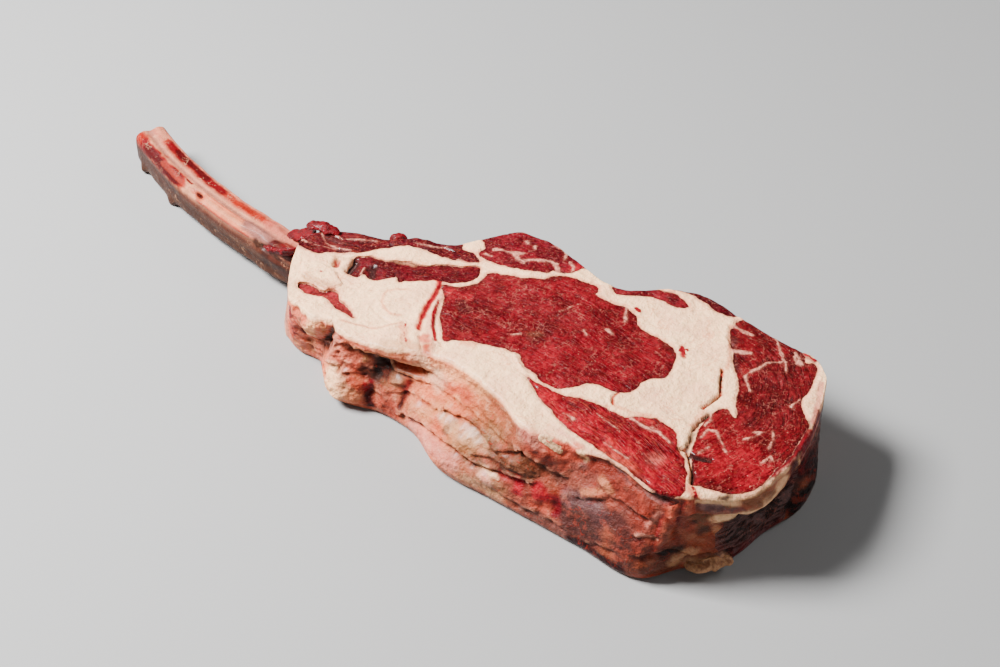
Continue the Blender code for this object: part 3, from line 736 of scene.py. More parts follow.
# airbrush strokes: tone, reach in millimetres, strength, then the line; the front's are in
# thousandths of its length and of its height going down, the cut face's in X and Y
paintwork = dict(
    # On the front, the near-black strokes and most umber and hazel strokes are painted shade: they darken its
    # hollows, recesses and creases and the undersides of its ledges and folds. The other strokes are mostly
    # the tissue's own colours.
    front=[
        ("blush", 6, 0.8, 0, 100, 20, 250), ("crimson", 3, 1, 33, 150, 27, 380),
        ("rust", 3.5, 0.8, 36, 450, 35, 820), ("salmon", 2, 0.6, 45, 30, 47, 250),
        ("hazel", 1.8, 0.9, 62, 100), ("hazel", 1.5, 0.6, 45, 50), ("hazel", 1.5, 0.6, 57, 240),
        ("blood", 2.2, 1, 58, 380, 57, 500), ("sand", 4, 0.7, 45, 920), ("sand", 3, 0.6, 70, 720, 66, 900),
        ("fawn", 3, 0.7, 100, 750, 95, 900), ("umber", 3.5, 0.7, 90, 500, 88, 650),
        ("milk", 3.2, 1, 85, 0, 79, 200, 73, 420), ("khaki", 1.6, 0.8, 100, 80, 96, 250),
        ("umber", 2.6, 1, 119, 20, 112, 200, 98, 420), ("mauve", 2.2, 0.85, 128, 120, 119, 350, 109, 500),
        ("milk", 8, 0.95, 145, 700, 150, 900, 170, 800), ("rose", 4, 0.7, 135, 500, 150, 380, 165, 400),
        ("mauve", 4, 0.35, 160, 550, 170, 650), ("peach", 4, 0.5, 175, 950, 190, 900),
        ("umber", 3.5, 1, 165, 140, 200, 250, 225, 220), ("umber", 5.5, 1, 200, 350, 205, 520),
        ("blood", 4, 0.7, 240, 240), ("hazel", 2.6, 0.7, 175, 150, 150, 200), ("mauve", 1.8, 0.9, 188, 240),
        ("sand", 2, 0.9, 178, 310), ("rose", 1.9, 0.9, 186, 430), ("rust", 3, 0.6, 170, 450, 186, 560),
        ("khaki", 3, 0.7, 220, 620), ("sand", 4, 0.9, 232, 480), ("rust", 2.6, 0.8, 249, 500),
        ("salmon", 2.4, 0.6, 230, 300, 250, 310), ("blush", 1, 0.85, 210, 300, 222, 355, 250, 360, 268, 340),
        ("umber", 1.2, 1, 216, 390, 250, 395), ("scarlet", 2.2, 1, 195, 660, 200, 780),
        ("blood", 2.8, 1, 205, 860, 210, 960), ("rose", 5, 0.7, 220, 750, 240, 800),
        ("rust", 4, 0.5, 230, 900, 250, 920), ("blood", 2, 1, 254, 620, 255, 800),
        ("peach", 3, 0.5, 150, 30, 190, 40, 240, 60), ("fawn", 3, 0.45, 200, 0, 230, 20),
        ("cream", 1.3, 0.8, 160, 75, 200, 120, 240, 155, 270, 170),
        ("cream", 6, 0.7, 270, 120, 320, 50, 360, 0), ("peach", 7, 0.8, 275, 420, 320, 380, 360, 280),
        ("salmon", 3, 0.5, 270, 240, 300, 240, 340, 220), ("peach", 7, 0.6, 380, 200, 420, 200, 440, 200),
        ("peach", 4, 0.6, 390, 40, 430, 30), ("sand", 4, 0.6, 400, 330, 420, 320),
        ("cream", 2, 0.5, 330, 300), ("sand", 7, 0.85, 275, 660), ("sand", 6, 0.8, 300, 620, 310, 500),
        ("sand", 6, 0.9, 360, 550, 390, 550), ("khaki", 4, 0.8, 375, 440, 400, 460),
        ("hazel", 2.4, 0.8, 345, 500, 345, 600), ("fawn", 5, 0.85, 420, 480, 460, 420, 480, 460),
        ("hazel", 3, 0.8, 430, 550, 460, 500), ("fawn", 3, 0.8, 445, 330, 470, 330, 490, 360),
        ("fawn", 3, 0.8, 405, 650), ("shell", 8, 0.9, 280, 920, 330, 860, 380, 860, 400, 920),
        ("salmon", 2.5, 0.5, 335, 830), ("fawn", 1.9, 0.8, 387, 740), ("fawn", 1.7, 0.8, 402, 740),
        ("milk", 4, 0.95, 425, 740, 430, 780), ("khaki", 4, 0.8, 436, 910),
        ("sand", 4, 0.7, 450, 800, 460, 880), ("salmon", 7, 0.6, 470, 80, 500, 100),
        ("rust", 3, 0.7, 485, 0, 500, 30), ("rust", 3, 0.75, 500, 220, 505, 300),
        ("salmon", 4, 0.6, 485, 180), ("mauve", 4, 0.9, 515, 420), ("rose", 7, 0.6, 520, 300, 550, 300),
        ("salmon", 8, 0.75, 560, 100, 620, 150, 650, 250), ("silver", 6, 0.9, 560, 550, 590, 520),
        ("plum", 8, 0.9, 550, 750, 580, 750), ("plum", 7, 0.8, 610, 500, 630, 600),
        ("plum", 6, 0.7, 620, 750, 640, 850), ("scarlet", 4, 0.8, 470, 650, 475, 720),
        ("crimson", 4, 1, 500, 600, 505, 680), ("salmon", 4, 0.7, 490, 760, 515, 720),
        ("rose", 4, 0.6, 470, 850, 510, 850), ("salmon", 2, 0.7, 520, 600, 528, 500),
        ("blood", 3, 1, 530, 680, 532, 800), ("salmon", 3, 0.6, 440, 670, 455, 660),
        ("peach", 2.8, 0.95, 570, 200, 585, 240), ("peach", 2, 0.9, 553, 420, 562, 380, 575, 330),
        ("blood", 1.2, 0.4, 557, 500, 580, 405, 588, 345, 605, 315, 640, 290), ("mauve", 2.2, 0.8, 540, 150),
        ("umber", 1.2, 1, 535, 115), ("mauve", 3, 0.8, 490, 950, 550, 950),
        ("blood", 3.6, 1, 560, 1000, 630, 1000), ("rose", 1.8, 0.8, 590, 900, 600, 830),
        ("umber", 2.2, 1, 572, 0, 620, 15, 660, 30), ("rose", 1.8, 0.9, 658, 150, 655, 300, 647, 460),
        ("shell", 1, 0.8, 646, 475, 660, 475), ("salmon", 3, 0.9, 672, 150, 672, 400, 668, 600),
        ("salmon", 2.4, 0.9, 690, 20, 692, 160), ("crimson", 3.2, 0.6, 648, 560, 652, 750),
        ("umber", 4, 1, 680, 680, 700, 720), ("fawn", 5, 0.8, 670, 900, 700, 900),
        ("khaki", 4, 0.8, 705, 220, 715, 300), ("umber", 2, 0.8, 705, 360),
        ("khaki", 5, 0.85, 725, 400, 735, 250), ("peach", 2.5, 0.7, 680, 400, 700, 520, 720, 600),
        ("sand", 3, 0.8, 735, 120, 745, 140), ("umber", 3, 1, 715, 40, 735, 0),
        ("shadeBlack", 9, 1, 760, 350, 790, 500, 820, 550, 860, 600), ("shadeBlack", 8, 1, 770, 700, 830, 800),
        ("sand", 4, 0.95, 725, 960, 760, 960), ("sand", 4, 0.9, 755, 40, 790, 50),
        ("blush", 2.4, 0.9, 800, 0, 820, 60, 830, 140), ("shadeBlack", 3.5, 1, 790, 750, 800, 850),
        ("blood", 5, 1, 855, 60, 900, 100, 960, 100), ("blood", 7, 1, 850, 300, 900, 350, 970, 350),
        ("blood", 10, 1, 860, 400, 900, 500, 940, 600), ("shadeBlack", 10, 1, 860, 750, 900, 850, 960, 800),
        ("blood", 6, 0.8, 970, 200, 980, 500), ("crimson", 4, 1, 840, 20, 870, 80, 920, 60),
        ("crimson", 2.6, 0.8, 865, 220, 890, 240, 920, 220), ("sand", 1.8, 0.9, 850, 0, 868, 0),
        ("sand", 2, 0.85, 845, 100, 850, 280), ("shell", 1, 0.8, 885, 120, 910, 140, 940, 100),
        ("scarlet", 2, 0.7, 900, 300, 900, 500), ("hazel", 1.6, 0.5, 262, 880, 285, 785, 310, 740),
        ("hazel", 1.5, 0.5, 360, 680, 400, 710, 420, 665), ("umber", 2, 0.7, 440, 615, 460, 580, 478, 565),
        ("hazel", 1.4, 0.5, 360, 375, 390, 390, 405, 430, 422, 435, 436, 365, 450, 315),
        ("umber", 1.4, 0.5, 455, 235, 485, 290, 498, 365, 520, 370),
    ],
    # laid on after the painted shade of the front, so that it does not darken them
    frontBright=[
        ("shell", 3.6, 0.85, 425, 740, 430, 780), ("cream", 1.6, 0.6, 415, 700, 440, 700),
        ("rose", 4, 0.75, 280, 900, 330, 850, 380, 840), ("sand", 3, 0.5, 400, 920, 450, 960),
        ("scarlet", 3.2, 1, 470, 620, 476, 720), ("scarlet", 3.4, 1, 497, 580, 512, 640, 505, 700),
        ("crimson", 2.4, 1, 527, 660, 531, 800), ("scarlet", 2.6, 0.6, 445, 670, 455, 660),
        ("salmon", 2.6, 0.6, 500, 800, 520, 800), ("umber", 4, 0.45, 545, 620, 560, 680, 580, 760),
        ("plum", 3, 0.6, 535, 500, 540, 580), ("plum", 3, 0.6, 562, 500, 580, 470),
        ("salmon", 2.6, 0.6, 512, 200, 517, 260), ("peach", 2.2, 0.5, 572, 190, 585, 240),
        ("peach", 1.6, 0.45, 555, 420, 562, 380, 576, 330), ("rose", 1.4, 0.75, 648, 360, 652, 280, 658, 180),
        ("shell", 1, 0.6, 640, 500, 650, 465, 665, 470), ("rose", 4, 0.6, 460, 40, 480, 50),
        ("salmon", 4.2, 0.9, 495, 50, 530, 60), ("blush", 6, 0.7, 255, 120, 275, 220, 290, 240),
        ("sand", 3.6, 0.6, 700, 860, 720, 800), ("umber", 4, 0.75, 185, 500, 205, 550, 215, 450),
        ("rust", 2.4, 0.7, 175, 620, 190, 700), ("crimson", 1.8, 1, 200, 620, 205, 800),
        ("fawn", 3, 0.7, 225, 440, 240, 500), ("crimson", 1.8, 0.75, 250, 460, 252, 580),
        ("crimson", 2.6, 0.7, 43, 300, 45, 600), ("cream", 2, 0.8, 535, 20, 540, 80),
        ("cream", 4.5, 0.55, 160, 860, 150, 700, 145, 600), ("cream", 2, 0.7, 700, 30, 720, 20, 745, 30),
        ("mauve", 2.2, 0.6, 705, 110, 725, 100), ("plum", 2, 0.8, 715, 130, 750, 110),
        ("cream", 3.2, 0.8, 730, 300, 765, 200, 795, 150, 818, 80), ("fawn", 1.4, 0.8, 765, 120, 800, 100),
        ("sand", 2.6, 0.85, 763, 740, 772, 660, 785, 600), ("umber", 2.2, 0.7, 720, 500, 735, 400, 750, 330),
        ("salmon", 2.6, 0.8, 672, 60, 676, 260), ("salmon", 2, 0.8, 692, 40, 695, 170),
        ("crimson", 0.9, 0.8, 684, 40, 683, 300), ("crimson", 0.9, 0.7, 664, 450, 662, 250, 660, 120),
        ("blood", 2.6, 1, 842, 0, 846, 200), ("sand", 1.4, 0.85, 856, 30, 858, 150),
        ("crimson", 3.8, 1, 872, 0, 900, 0, 935, 0), ("rose", 1, 0.7, 870, 120, 900, 110, 940, 90),
        ("sand", 3.5, 0.6, 330, 500, 345, 560), ("sand", 4.5, 0.5, 355, 500, 400, 500),
        ("sand", 2, 0.55, 735, 420, 742, 550), ("sand", 3.4, 0.6, 725, 960, 760, 960),
    ],
    # on the cut fat the two umber strokes are painted shade in its cracks
    cutFat=[
        ("scarlet", 1.3, 1, 114, 43), ("scarlet", 1.1, 1, 147.5, 31, 149, 28, 152, 24.5),
        ("plum", 0.8, 0.6, 139, 57), ("rose", 1.1, 0.6, -44, -14), ("rose", 1.1, 0.7, 19, -29),
        ("sand", 1.3, 0.6, 5, -19), ("rose", 0.7, 0.5, 155, -1, 154, -7),
        ("rose", 2.4, 0.6, 23, 6, 24, -2, 27, -10, 30, -17, 36, -26, 42, -36),
        ("salmon", 1.9, 1, 13, 12, 16, 10, 19, 2, 20.5, -4, 22, -10, 24.5, -18, 28, -26),
        ("scarlet", 1.3, 0.9, 14, 11.5, 17, 8, 19.3, 1, 21, -5, 22.5, -11, 25, -18),
        ("salmon", 2.6, 0.85, 34, -30, 40, -36, 44, -41),
        ("crimson", 1, 1, 25, -4, 29, -14, 34, -22, 41, -29), ("peach", 2.4, 0.8, 20, -28, 27, -36, 36, -40),
        ("sand", 2, 0.9, -50, -20.5, -40, -21.8, -32, -20), ("sand", 4.5, 0.75, 22, -44, 32, -40, 40, -37),
        ("rust", 1.8, 0.8, 40, -36, 42, -40), ("peach", 5, 0.5, 44, -46, 58, -48),
        ("sand", 3.5, 0.4, 60, -50, 75, -50, 88, -49), ("rust", 1.8, 1, -43.5, -1, -42, -4),
        ("sand", 1.6, 0.6, -46, 1, -38, 3), ("rust", 0.9, 1, 172, 27, 176, 19, 179.5, 12, 178, 6, 176.5, 0),
        ("umber", 0.8, 1, 174, 22, 178, 14), ("blood", 1, 1, 181, -3, 180, -10, 180.5, -17),
        ("peach", 1.6, 0.6, 178, -2, 178, -14), ("umber", 1.4, 0.8, 181.5, -19, 183, -24, 184, -29),
        ("peach", 1, 0.8, 160, 58, 164, 50, 168, 43, 172, 34, 174, 28),
        ("rust", 0.9, 1, 138.5, -15, 138, -19, 140, -22.5),
        ("peach", 1.2, 0.7, 142, -23.5, 152, -22, 160, -19.5), ("peach", 2.6, 0.7, 50, -21, 56, -24, 60, -24),
        ("rose", 1.4, 0.6, -40, 8, -50, 3, -60, -1, -68, -3),
        ("shell", 1.2, 0.7, 128, -51, 140, -54, 160, -57, 180, -61), ("salmon", 2.6, 0.8, 198, -50, 204, -54),
        ("blood", 3, 1, 223, 17, 226, 6, 227, -6, 225.5, -18, 221, -30, 213, -41),
        ("crimson", 1.1, 0.8, 226, 14, 228, 4, 228.5, -8, 226, -22),
        ("fawn", 0.9, 0.9, 224.5, -5, 223.8, -13, 221, -22),
        ("rose", 0.7, 0.6, 228, 16, 229.5, 5, 229.5, -8, 227, -20),
        ("crimson", 1.4, 0.8, 188, 62, 196, 60.5, 206, 57.5),
        ("rose", 1.6, 0.8, 216, 46, 219, 38, 223, 27, 225, 20), ("shell", 1, 0.7, -5, 9, -4, 5, -3, 2),
        ("peach", 0.8, 0.8, 5, -3, 0, -5, -4, -8, -4, -12, -1, -18, 4, -22, 9, -24, 14, -22),
        ("salmon", 0.8, 0.6, -10, -41, 0, -38.5, 9, -36.5, 14, -31, 18, -26),
    ],
    # on the cut meat the near-black strokes are painted shade in its cracks, slits and dips
    cutMeat=[
        ("blood", 9, 0.35, 40, 20, 45, 5, 52, -10, 46, -20), ("blood", 5, 0.4, 84, 12, 86, -6),
        ("hazel", 2.2, 0.4, 80, -2, 83, 0), ("scarlet", 4, 0.55, 24, 6, 34, 4),
        ("blood", 3, 0.8, 34, 2, 40, -2), ("scarlet", 2.4, 0.5, 36, -22, 44, -27),
        ("scarlet", 12, 0.14, 100, -8, 120, -6, 110, -18), ("fawn", 1.9, 0.8, -20, 14, -12, 16.5, -6, 18),
        ("shadeBlack", 2.6, 0.75, -35, 4, -33.5, -4), ("shadeBlack", 2.4, 0.6, -24, 5, -20, -1),
        ("blood", 5, 0.6, -75, 10, -62, 8, -50, 9), ("shadeBlack", 2, 0.5, -60, 12, -48, 13),
        ("blood", 4, 0.55, -60, 22, -50, 22, -40, 26), ("shadeBlack", 2.2, 0.6, 166, 50, 168, 46),
        ("shadeBlack", 2, 0.45, 173, 37, 178, 30), ("blood", 12, 0.45, 195, 40, 205, 30, 205, 12),
        ("blood", 4, 0.6, 200, 2, 196, -6), ("scarlet", 12, 0.28, 190, -10, 196, -30, 215, -25),
        ("shadeBlack", 1.7, 0.7, 182, -29.5, 189, -31.5, 196, -29.5),
        ("shadeBlack", 1.1, 0.5, 186, -31, 190, -36, 194, -41, 197, -47),
        ("scarlet", 2.6, 0.6, 156, -23, 160, -23.5),
        ("scarlet", 4, 0.3, 112, -36, 125, -42, 150, -46, 175, -50), ("rose", 5, 0.16, 176, -44),
        ("scarlet", 3, 0.4, 70, 53, 72, 58), ("blood", 8, 0.3, 60, 18, 80, 20, 95, 12),
        ("blood", 5, 0.3, 110, -22, 122, -12),
    ],
)

# pale veins of the meat on the cut face: half width in millimetres, then the line
veins = [
    (1.07, 24, 48.5, 30, 49.5, 36, 50, 41, 52), (1.23, 37, 49, 41, 46, 45, 45.5),
    (1.15, 44, 46.5, 50, 50, 56, 52.5, 60, 52, 63, 49, 65, 46), (0.9, 42, 54.5, 43.5, 57.5, 42.5, 60),
    (0.81, 35, 61.5, 38, 60), (0.81, 29, 67.5, 31, 67), (0.72, 51, 65, 58, 64.5, 61, 61, 62, 58),
    (0.63, 22, 43, 26, 42.5), (0.81, 66, 57, 70, 54, 71, 50), (0.82, 183, 63, 188, 57, 192, 52, 195, 49),
    (1.64, 196, 58, 200, 53, 203, 53),
    (0.63, 195, 50, 191, 46, 188, 43, 186.5, 37, 184, 32, 183.5, 29, 186, 26, 190, 22),
    (0.54, 196, 48, 198, 44), (1.39, 169, 41, 173, 42.5, 178, 44.5), (1.07, 156, 60, 163, 58.5, 172, 58),
    (0.63, 186, -18, 185.8, -12, 190, -11, 194, -15, 200, -20), (0.81, 208, 0, 206, -5, 203, -9),
    (0.45, 212, 4, 215, -2, 216, -8), (0.41, 217, -18, 219, -12, 221, -14),
    (0.45, 181.5, -1, 184, -6, 183, -10), (0.9, 206, -27), (0.54, 205, -2, 209, 1),
    (0.45, 190, -28, 192, -22), (0.54, 213, 30, 211, 24), (0.82, 110, 41, 111.5, 37, 114, 32),
    (0.81, 110, 21, 114, 20), (0.36, 88, 30, 86, 27, 85, 23, 83, 20), (0.63, 72, -6.5, 75, -4),
    (0.36, 101, 14, 104, 12), (0.9, 124, -40.5, 130, -40.5), (0.32, 137, -32, 145, -34, 152, -36),
    (0.72, 152, -25.5, 158, -27, 164, -27.5, 168, -27, 176, -30), (1.15, 164, -26),
    (0.27, 150, -47, 165, -50), (0.32, -65, 19.5, -60, 16, -53, 15.5, -47, 18, -40, 21, -35, 23),
    (0.18, -66, 14, -58, 8, -50, 7.5, -42, 10), (0.23, -70, 2, -60, 4, -50, 7), (0.54, -27.5, 2, -26, -3),
    (0.72, 12, 31.5, 18, 32, 22, 34), (0.32, -16, 31, -8, 34, 0, 38),
]
# blood on the cut fat: half width in millimetres, then the line
redMarks = [
    (1.5, 147.5, 31, 149, 28.5, 151.5, 26.5), (1, 150.5, 30.5, 152, 29), (1.1, 149, 27, 153, 24),
    (1.4, 114, 43, 116, 42.5), (0.9, 12, 12.5, 16, 11, 19, 2, 20.5, -4, 22, -10, 24.5, -18, 28, -26),
    (0.6, 25, -4, 29, -14, 34, -22, 41, -29), (0.35, 19, -24, 24, -33, 30, -38),
    (0.9, 188, 62.5, 197, 61, 207, 58), (0.3, 180, -3, 180.5, -10, 181, -17),
    (0.3, 172, 27, 176, 19, 179, 12), (0.7, 199, -49, 203, -53), (0.3, -5, 9, -4, 5, -3, 2), (0.4, -44, -14),
    (0.35, 5, -19), (0.6, -43.5, -1, -42, -4),
]
print("airbrush ready:", sum(len(strokes) for strokes in paintwork.values()), "strokes")


# rib bone: a rounded square carried along its middle line
bone = dict(
    width=20.0, height=23.0, squareness=4.0, groove=1.1, grooveHalf=2.6, endRound=1.2,
    cutterGrow=-0.15,      # how much smaller the channel's cutter is than the bone
    # painted light and shade: the top is kept light and the front face made much darker, as if in shade
    topPaintedLight=(0.74, 0.55, 0.49), frontPaintedShade=(0.135, 0.088, 0.072),
    line=[(-225.0, 49.5, 12.4), (-197, 36.5, 12.6), (-174, 28.5, 13.2), (-150, 21.5, 14.0),
          (-128, 16, 15.0), (-107, 12, 16.0), (-84, 8, 17.0), (-62, 6.5, 18.0),
          (-42, 9.5, 18.0), (-27, 14.5, 18.0), (-11, 22, 18.0), (2, 29, 18.0)],
    stations=520, sides=176, endRings=(0.02, 0.25, 0.5, 0.75, 0.93),
    # large lumps: share of length, angle in degrees, height, reach along
    knobs=[
        (0.035, 218, 2.9, 3.4), (0.185, 232, 3.2, 4.4), (0.29, 128, -0.8, 6), (0.47, 130, 1.4, 9),
        (0.58, 205, 1.2, 12),
    ],
    # small lumps and pits: share of length, girth, height, reach along, reach round; girth is the way
    # round the section in millimetres from the middle of the top, positive to the front
    bumps=[
        (0.258, 4.6, -1.2, 2.6, 1.1), (0.315, 7.4, -3.2, 3, 1.7), (0.285, 7.5, 1.1, 3.2, 2.2),
        (0.33, 10, 0.9, 5, 1.6), (0.42, 7.6, 0.9, 20, 2.8), (0.535, 5.5, 1.5, 9, 3.6),
        (0.575, 11.6, -2.4, 4.5, 2), (0.65, 7, 2.2, 11, 4.4), (0.61, 16.5, 0.9, 9, 2.6),
        (0.03, 33, 1.2, 2.4, 1.6), (0.175, 34, 1.6, 3.4, 2.2), (0.22, 14, 0.8, 9, 3), (0.02, 9, 0.6, 5, 3),
        (0.66, 22, 1, 9, 4), (0.12, 16, -0.5, 14, 3),
    ],
    # ridges and furrows: girth at both ends, stretch of the length, height, half width
    ridges=[
        (4, 5, 0, 0.3, 0.55, 1.1), (-1.7, -1.3, 0.02, 0.66, 0.45, 0.9), (1.6, 1.9, 0.02, 0.62, -0.35, 1),
        (10.2, 10.4, 0.31, 0.54, 0.7, 1.1), (4, 4.2, 0.31, 0.56, 0.4, 0.7),
        (-4.9, -4.6, 0.09, 0.53, -0.45, 2.1), (-8.6, -8.6, 0.04, 0.62, 0.4, 1.2),
        (22, 23.5, 0.25, 0.74, -0.5, 3.6), (16, 17, 0.26, 0.7, 0.35, 1.6), (27.5, 28, 0.2, 0.7, 0.35, 1.8),
    ],
    # stains: girth at both ends, stretch of the length, tone, half width, strength
    stains=[
        (22, 22, 0, 1, "khaki", 12, 0.75), (18, 18, 0, 0.22, "mauve", 6, 0.6),
        (22, 24, 0.24, 0.74, "fawn", 3.4, 0.7), (31, 31, 0.18, 0.75, "mauve", 4.5, 0.65),
        (15, 15, 0.26, 0.6, "rose", 2.4, 0.5), (17.5, 18, 0.26, 0.6, "blush", 1.2, 0.5),
        (1.2, 1.8, 0, 0.64, "mauve", 2.1, 0.6), (-0.4, 0.2, 0.03, 0.6, "blush", 0.5, 0.6),
        (2.9, 3, 0.05, 0.5, "blush", 0.4, 0.5), (-1.9, -1.4, 0, 0.62, "rose", 1, 0.6),
        (4.1, 5.1, 0, 0.3, "blush", 1.3, 0.9), (9, 8, 0.245, 0.34, "blush", 4, 0.85),
        (7, 7.5, 0.32, 0.52, "peach", 3.2, 0.85), (7, 7.4, 0.34, 0.5, "blush", 1.2, 0.5),
        (10.4, 10.4, 0.32, 0.52, "salmon", 0.8, 0.75), (4, 4.1, 0.32, 0.5, "salmon", 0.5, 0.5),
        (8.6, 8, 0.02, 0.235, "rust", 4.7, 1), (9, 8.6, 0.05, 0.22, "crimson", 3.8, 1),
        (9, 8.4, 0.07, 0.22, "blood", 3, 0.85), (7, 8, 0.15, 0.25, "salmon", 1.6, 0.5),
        (-4.4, -4.2, 0.08, 0.53, "rust", 3, 0.9), (-5, -4.6, 0.09, 0.34, "crimson", 3, 1),
        (-5.5, -5, 0.13, 0.27, "blood", 2, 0.8), (-4, -4, 0.4, 0.53, "rust", 1.6, 0.8),
        (-9.2, -9.2, 0.03, 0.62, "rose", 1.8, 0.6), (-14, -14, 0, 0.7, "khaki", 3.5, 0.6),
        (4.6, 4.6, 0.248, 0.268, "crimson", 0.9, 0.95), (7.4, 7.4, 0.3, 0.325, "salmon", 2.6, 0.6),
        (7.4, 7.4, 0.308, 0.322, "blood", 1.4, 0.95), (-3, -2, 0.53, 0.68, "rose", 4.5, 0.7),
        (-5, -3, 0.56, 0.68, "crimson", 1.6, 0.4), (5, 6, 0.505, 0.585, "mauve", 4.2, 0.85),
        # the umber band is painted shade in the pit near a share of 0.575
        (11.8, 11, 0.55, 0.59, "umber", 2.4, 0.9), (17, 17, 0.58, 0.7, "plum", 6, 0.7),
        (15, 16, 0.6, 0.72, "rose", 1.2, 0.6), (20, 21, 0.6, 0.72, "rose", 1, 0.5),
        (6.5, 9, 0.6, 0.74, "blood", 5, 0.95), (3, 4, 0.63, 0.74, "crimson", 3, 0.85),
        (-2, -2, 0.66, 0.74, "crimson", 5, 0.8), (27, 27, 0.62, 0.75, "sand", 4, 0.6),
        (3, 10, 0, 0.012, "rust", 4, 0.5), (33, 33, 0.02, 0.05, "blush", 3, 0.9),
        (34, 34, 0.165, 0.2, "blush", 3.5, 0.9),
    ],
)


def boneSection():
    # rounded square as a superellipse: side, height and girth at each angle
    angle = np.linspace(0.0, 2.0 * math.pi, bone["sides"], endpoint=False)
    power = 2.0 / bone["squareness"]
    right = bone["width"] / 2.0 * np.sign(np.cos(angle)) * np.abs(np.cos(angle)) ** power
    up = bone["height"] / 2.0 * np.sign(np.sin(angle)) * np.abs(np.sin(angle)) ** power
    steps = np.hypot(np.roll(right, -1) - right, np.roll(up, -1) - up)
    run = np.concatenate([[0.0], np.cumsum(steps)[:-1]])
    girth = run - np.interp(math.pi / 2.0, angle, run)
    return angle[None, :], right[None, :], up[None, :], girth[None, :]


def boneGrid(grow=0.0):
    # rings across the middle line, with ridges and a groove along it and lumps as Gaussians; the
    # first rings close the sawn end from its middle out
    share = np.linspace(0.0, 1.0, bone["stations"])[:, None]
    angle, right, up, girth = boneSection()
    middle = along(bone["line"], share[:, 0])
    length = lengthOf(bone["line"])
    side = -rightOf(np.gradient(middle[:, :2], axis=0))
    bulge = 0.16 * flatField(share * length / 3.0, girth, 2.2, 71)
    bulge = bulge + 0.22 * flatField(share * length, girth, 9.0, 73)
    for at, turn, height, reach in bone["knobs"]:
        swing = np.abs((np.degrees(angle) - turn + 180.0) % 360.0 - 180.0) / 26.0
        bulge += height * bell((share - at) * length / reach, swing)
    for at, way, height, reach, spread in bone["bumps"]:
        bulge += height * bell((share - at) * length / reach, (girth - way) / spread)
    for way, wayEnd, first, last, height, half in bone["ridges"]:
        part = (share - first) / (last - first)
        centre = way + (wayEnd - way) * part
        ends = ease(part / 0.08 + 0.3) * ease((1.0 - part) / 0.08 + 0.3)
        bulge += height * bell((girth - centre) / half) * ends
    groove = bone["groove"] * bell(right / bone["grooveHalf"]) * (np.sin(angle) > 0.5)
    scale = 1.0 + bulge / (bone["width"] * 0.6)
    closing = 1.0 - bone["endRound"] / 10.0 * (1.0 - ease(share * length / bone["endRound"]))
    right = (right * scale + grow * np.cos(angle)) * closing
    up = (up * scale - groove + grow * np.sin(angle)) * closing
    grid = np.concatenate([middle[:, None, :2] + side[:, None] * right[..., None],
                           (middle[:, 2:3] + up)[..., None]], axis=2)
    return withEnds(grid, bone["endRings"], False) if grow == 0.0 else grid


def boneColours():
    # stains as bands along the bone, broken by noise, over a pale ground, then painted light on the top
    # and painted shade on the front face; the sawn end is marrow with a pale rim
    share = np.linspace(0.0, 1.0, bone["stations"])[:, None]
    girth = boneSection()[3]
    length = lengthOf(bone["line"])
    colours = np.ones((bone["stations"], bone["sides"], 4))
    colours[..., :3] = tones["rose"] * 0.55 + tones["blush"] * 0.45
    flat, wide = np.broadcast_arrays(share * length, girth)
    rough = 0.6 * flatField(flat / 1.6, wide, 3.5, 81, 3) + 0.35 * flatField(flat / 3.0, wide, 1.3, 83, 2)
    for way, wayEnd, first, last, tone, half, strength in bone["stains"]:
        part = (share - first) / (last - first)
        centre = way + (wayEnd - way) * np.clip(part, 0.0, 1.0)
        past = np.maximum(np.maximum(first - share, share - last), 0.0) * length
        far = np.hypot((girth - centre) / half, past / min(5.0, 1.5 * half))
        far = far + 0.5 * rough * min(1.0, half / 2.0)
        blendTone(colours, tones[tone], strength * (1.0 - ease((far - 0.5) / 0.8)))
    colours[..., :3] *= (1.0 + 0.14 * flatField(flat / 8.0, wide, 1.0, 85, 2))[..., None]
    # painted shade: the front face is darkened far more than the top
    front = ease((wide - 10.0) / 5.0)[..., None]
    colours[..., :3] *= np.array(bone["topPaintedLight"]) * (1.0 - front) + np.array(bone["frontPaintedShade"]) * front
    ends = np.ones((len(bone["endRings"]), bone["sides"], 4))
    for ring, part in zip(ends, bone["endRings"]):
        ring[:, :3] = tones["rust"] * 0.5 + tones["rose"] * 0.5 if part < 0.8 else tones["blush"]
    caps = np.array([[*tones["rust"], 1.0], [*tones["blush"], 1.0]])
    return np.vstack([np.concatenate([ends, colours]).reshape(-1, 4), caps])


# small loose scraps of meat and fat, each a flat tube with closed ends: path, half width, half
# thickness, tilt in degrees, tone, and whether it is meat
scraps = dict(
    redFlap=([(-76, 13.6, 40.2), (-70, 15.6, 41.6), (-63, 16.6, 41.6), (-56, 17.2, 40.2)],
             3.5, 1.5, 12, "crimson", True),
    backBead=([(-31, 29, 39.6), (-28.5, 31, 41.6), (-25.5, 32.4, 41.6), (-22, 32.5, 39.8)],
              2.6, 1.7, 0, "crimson", True),
    frontDrape=([(-95, 0.5, 25.4), (-89, -0.5, 26.8), (-82, -1.2, 28.8), (-75, -1.5, 32.5), (-69, -1, 37.0)],
                5.6, 2.0, -40, "crimson", True),
    backDrape=([(-90, 13, 27.6), (-84, 14.5, 29.4), (-77, 14.5, 32.6), (-70, 12.5, 37.2)],
               4.6, 1.6, 10, "crimson", True),
    footScrap=([(199, -52, 4.3), (205, -51, 4.9), (212, -45, 5.3), (218, -38, 4.5)],
               4.2, 3.0, -12, "sand", False),
    sideFlap=([(121.5, -58.8, 49.6), (126, -58.2, 49.2), (131, -57.6, 47.0), (134, -57.9, 44.6)],
              2.6, 0.8, 60, "cream", False),
)


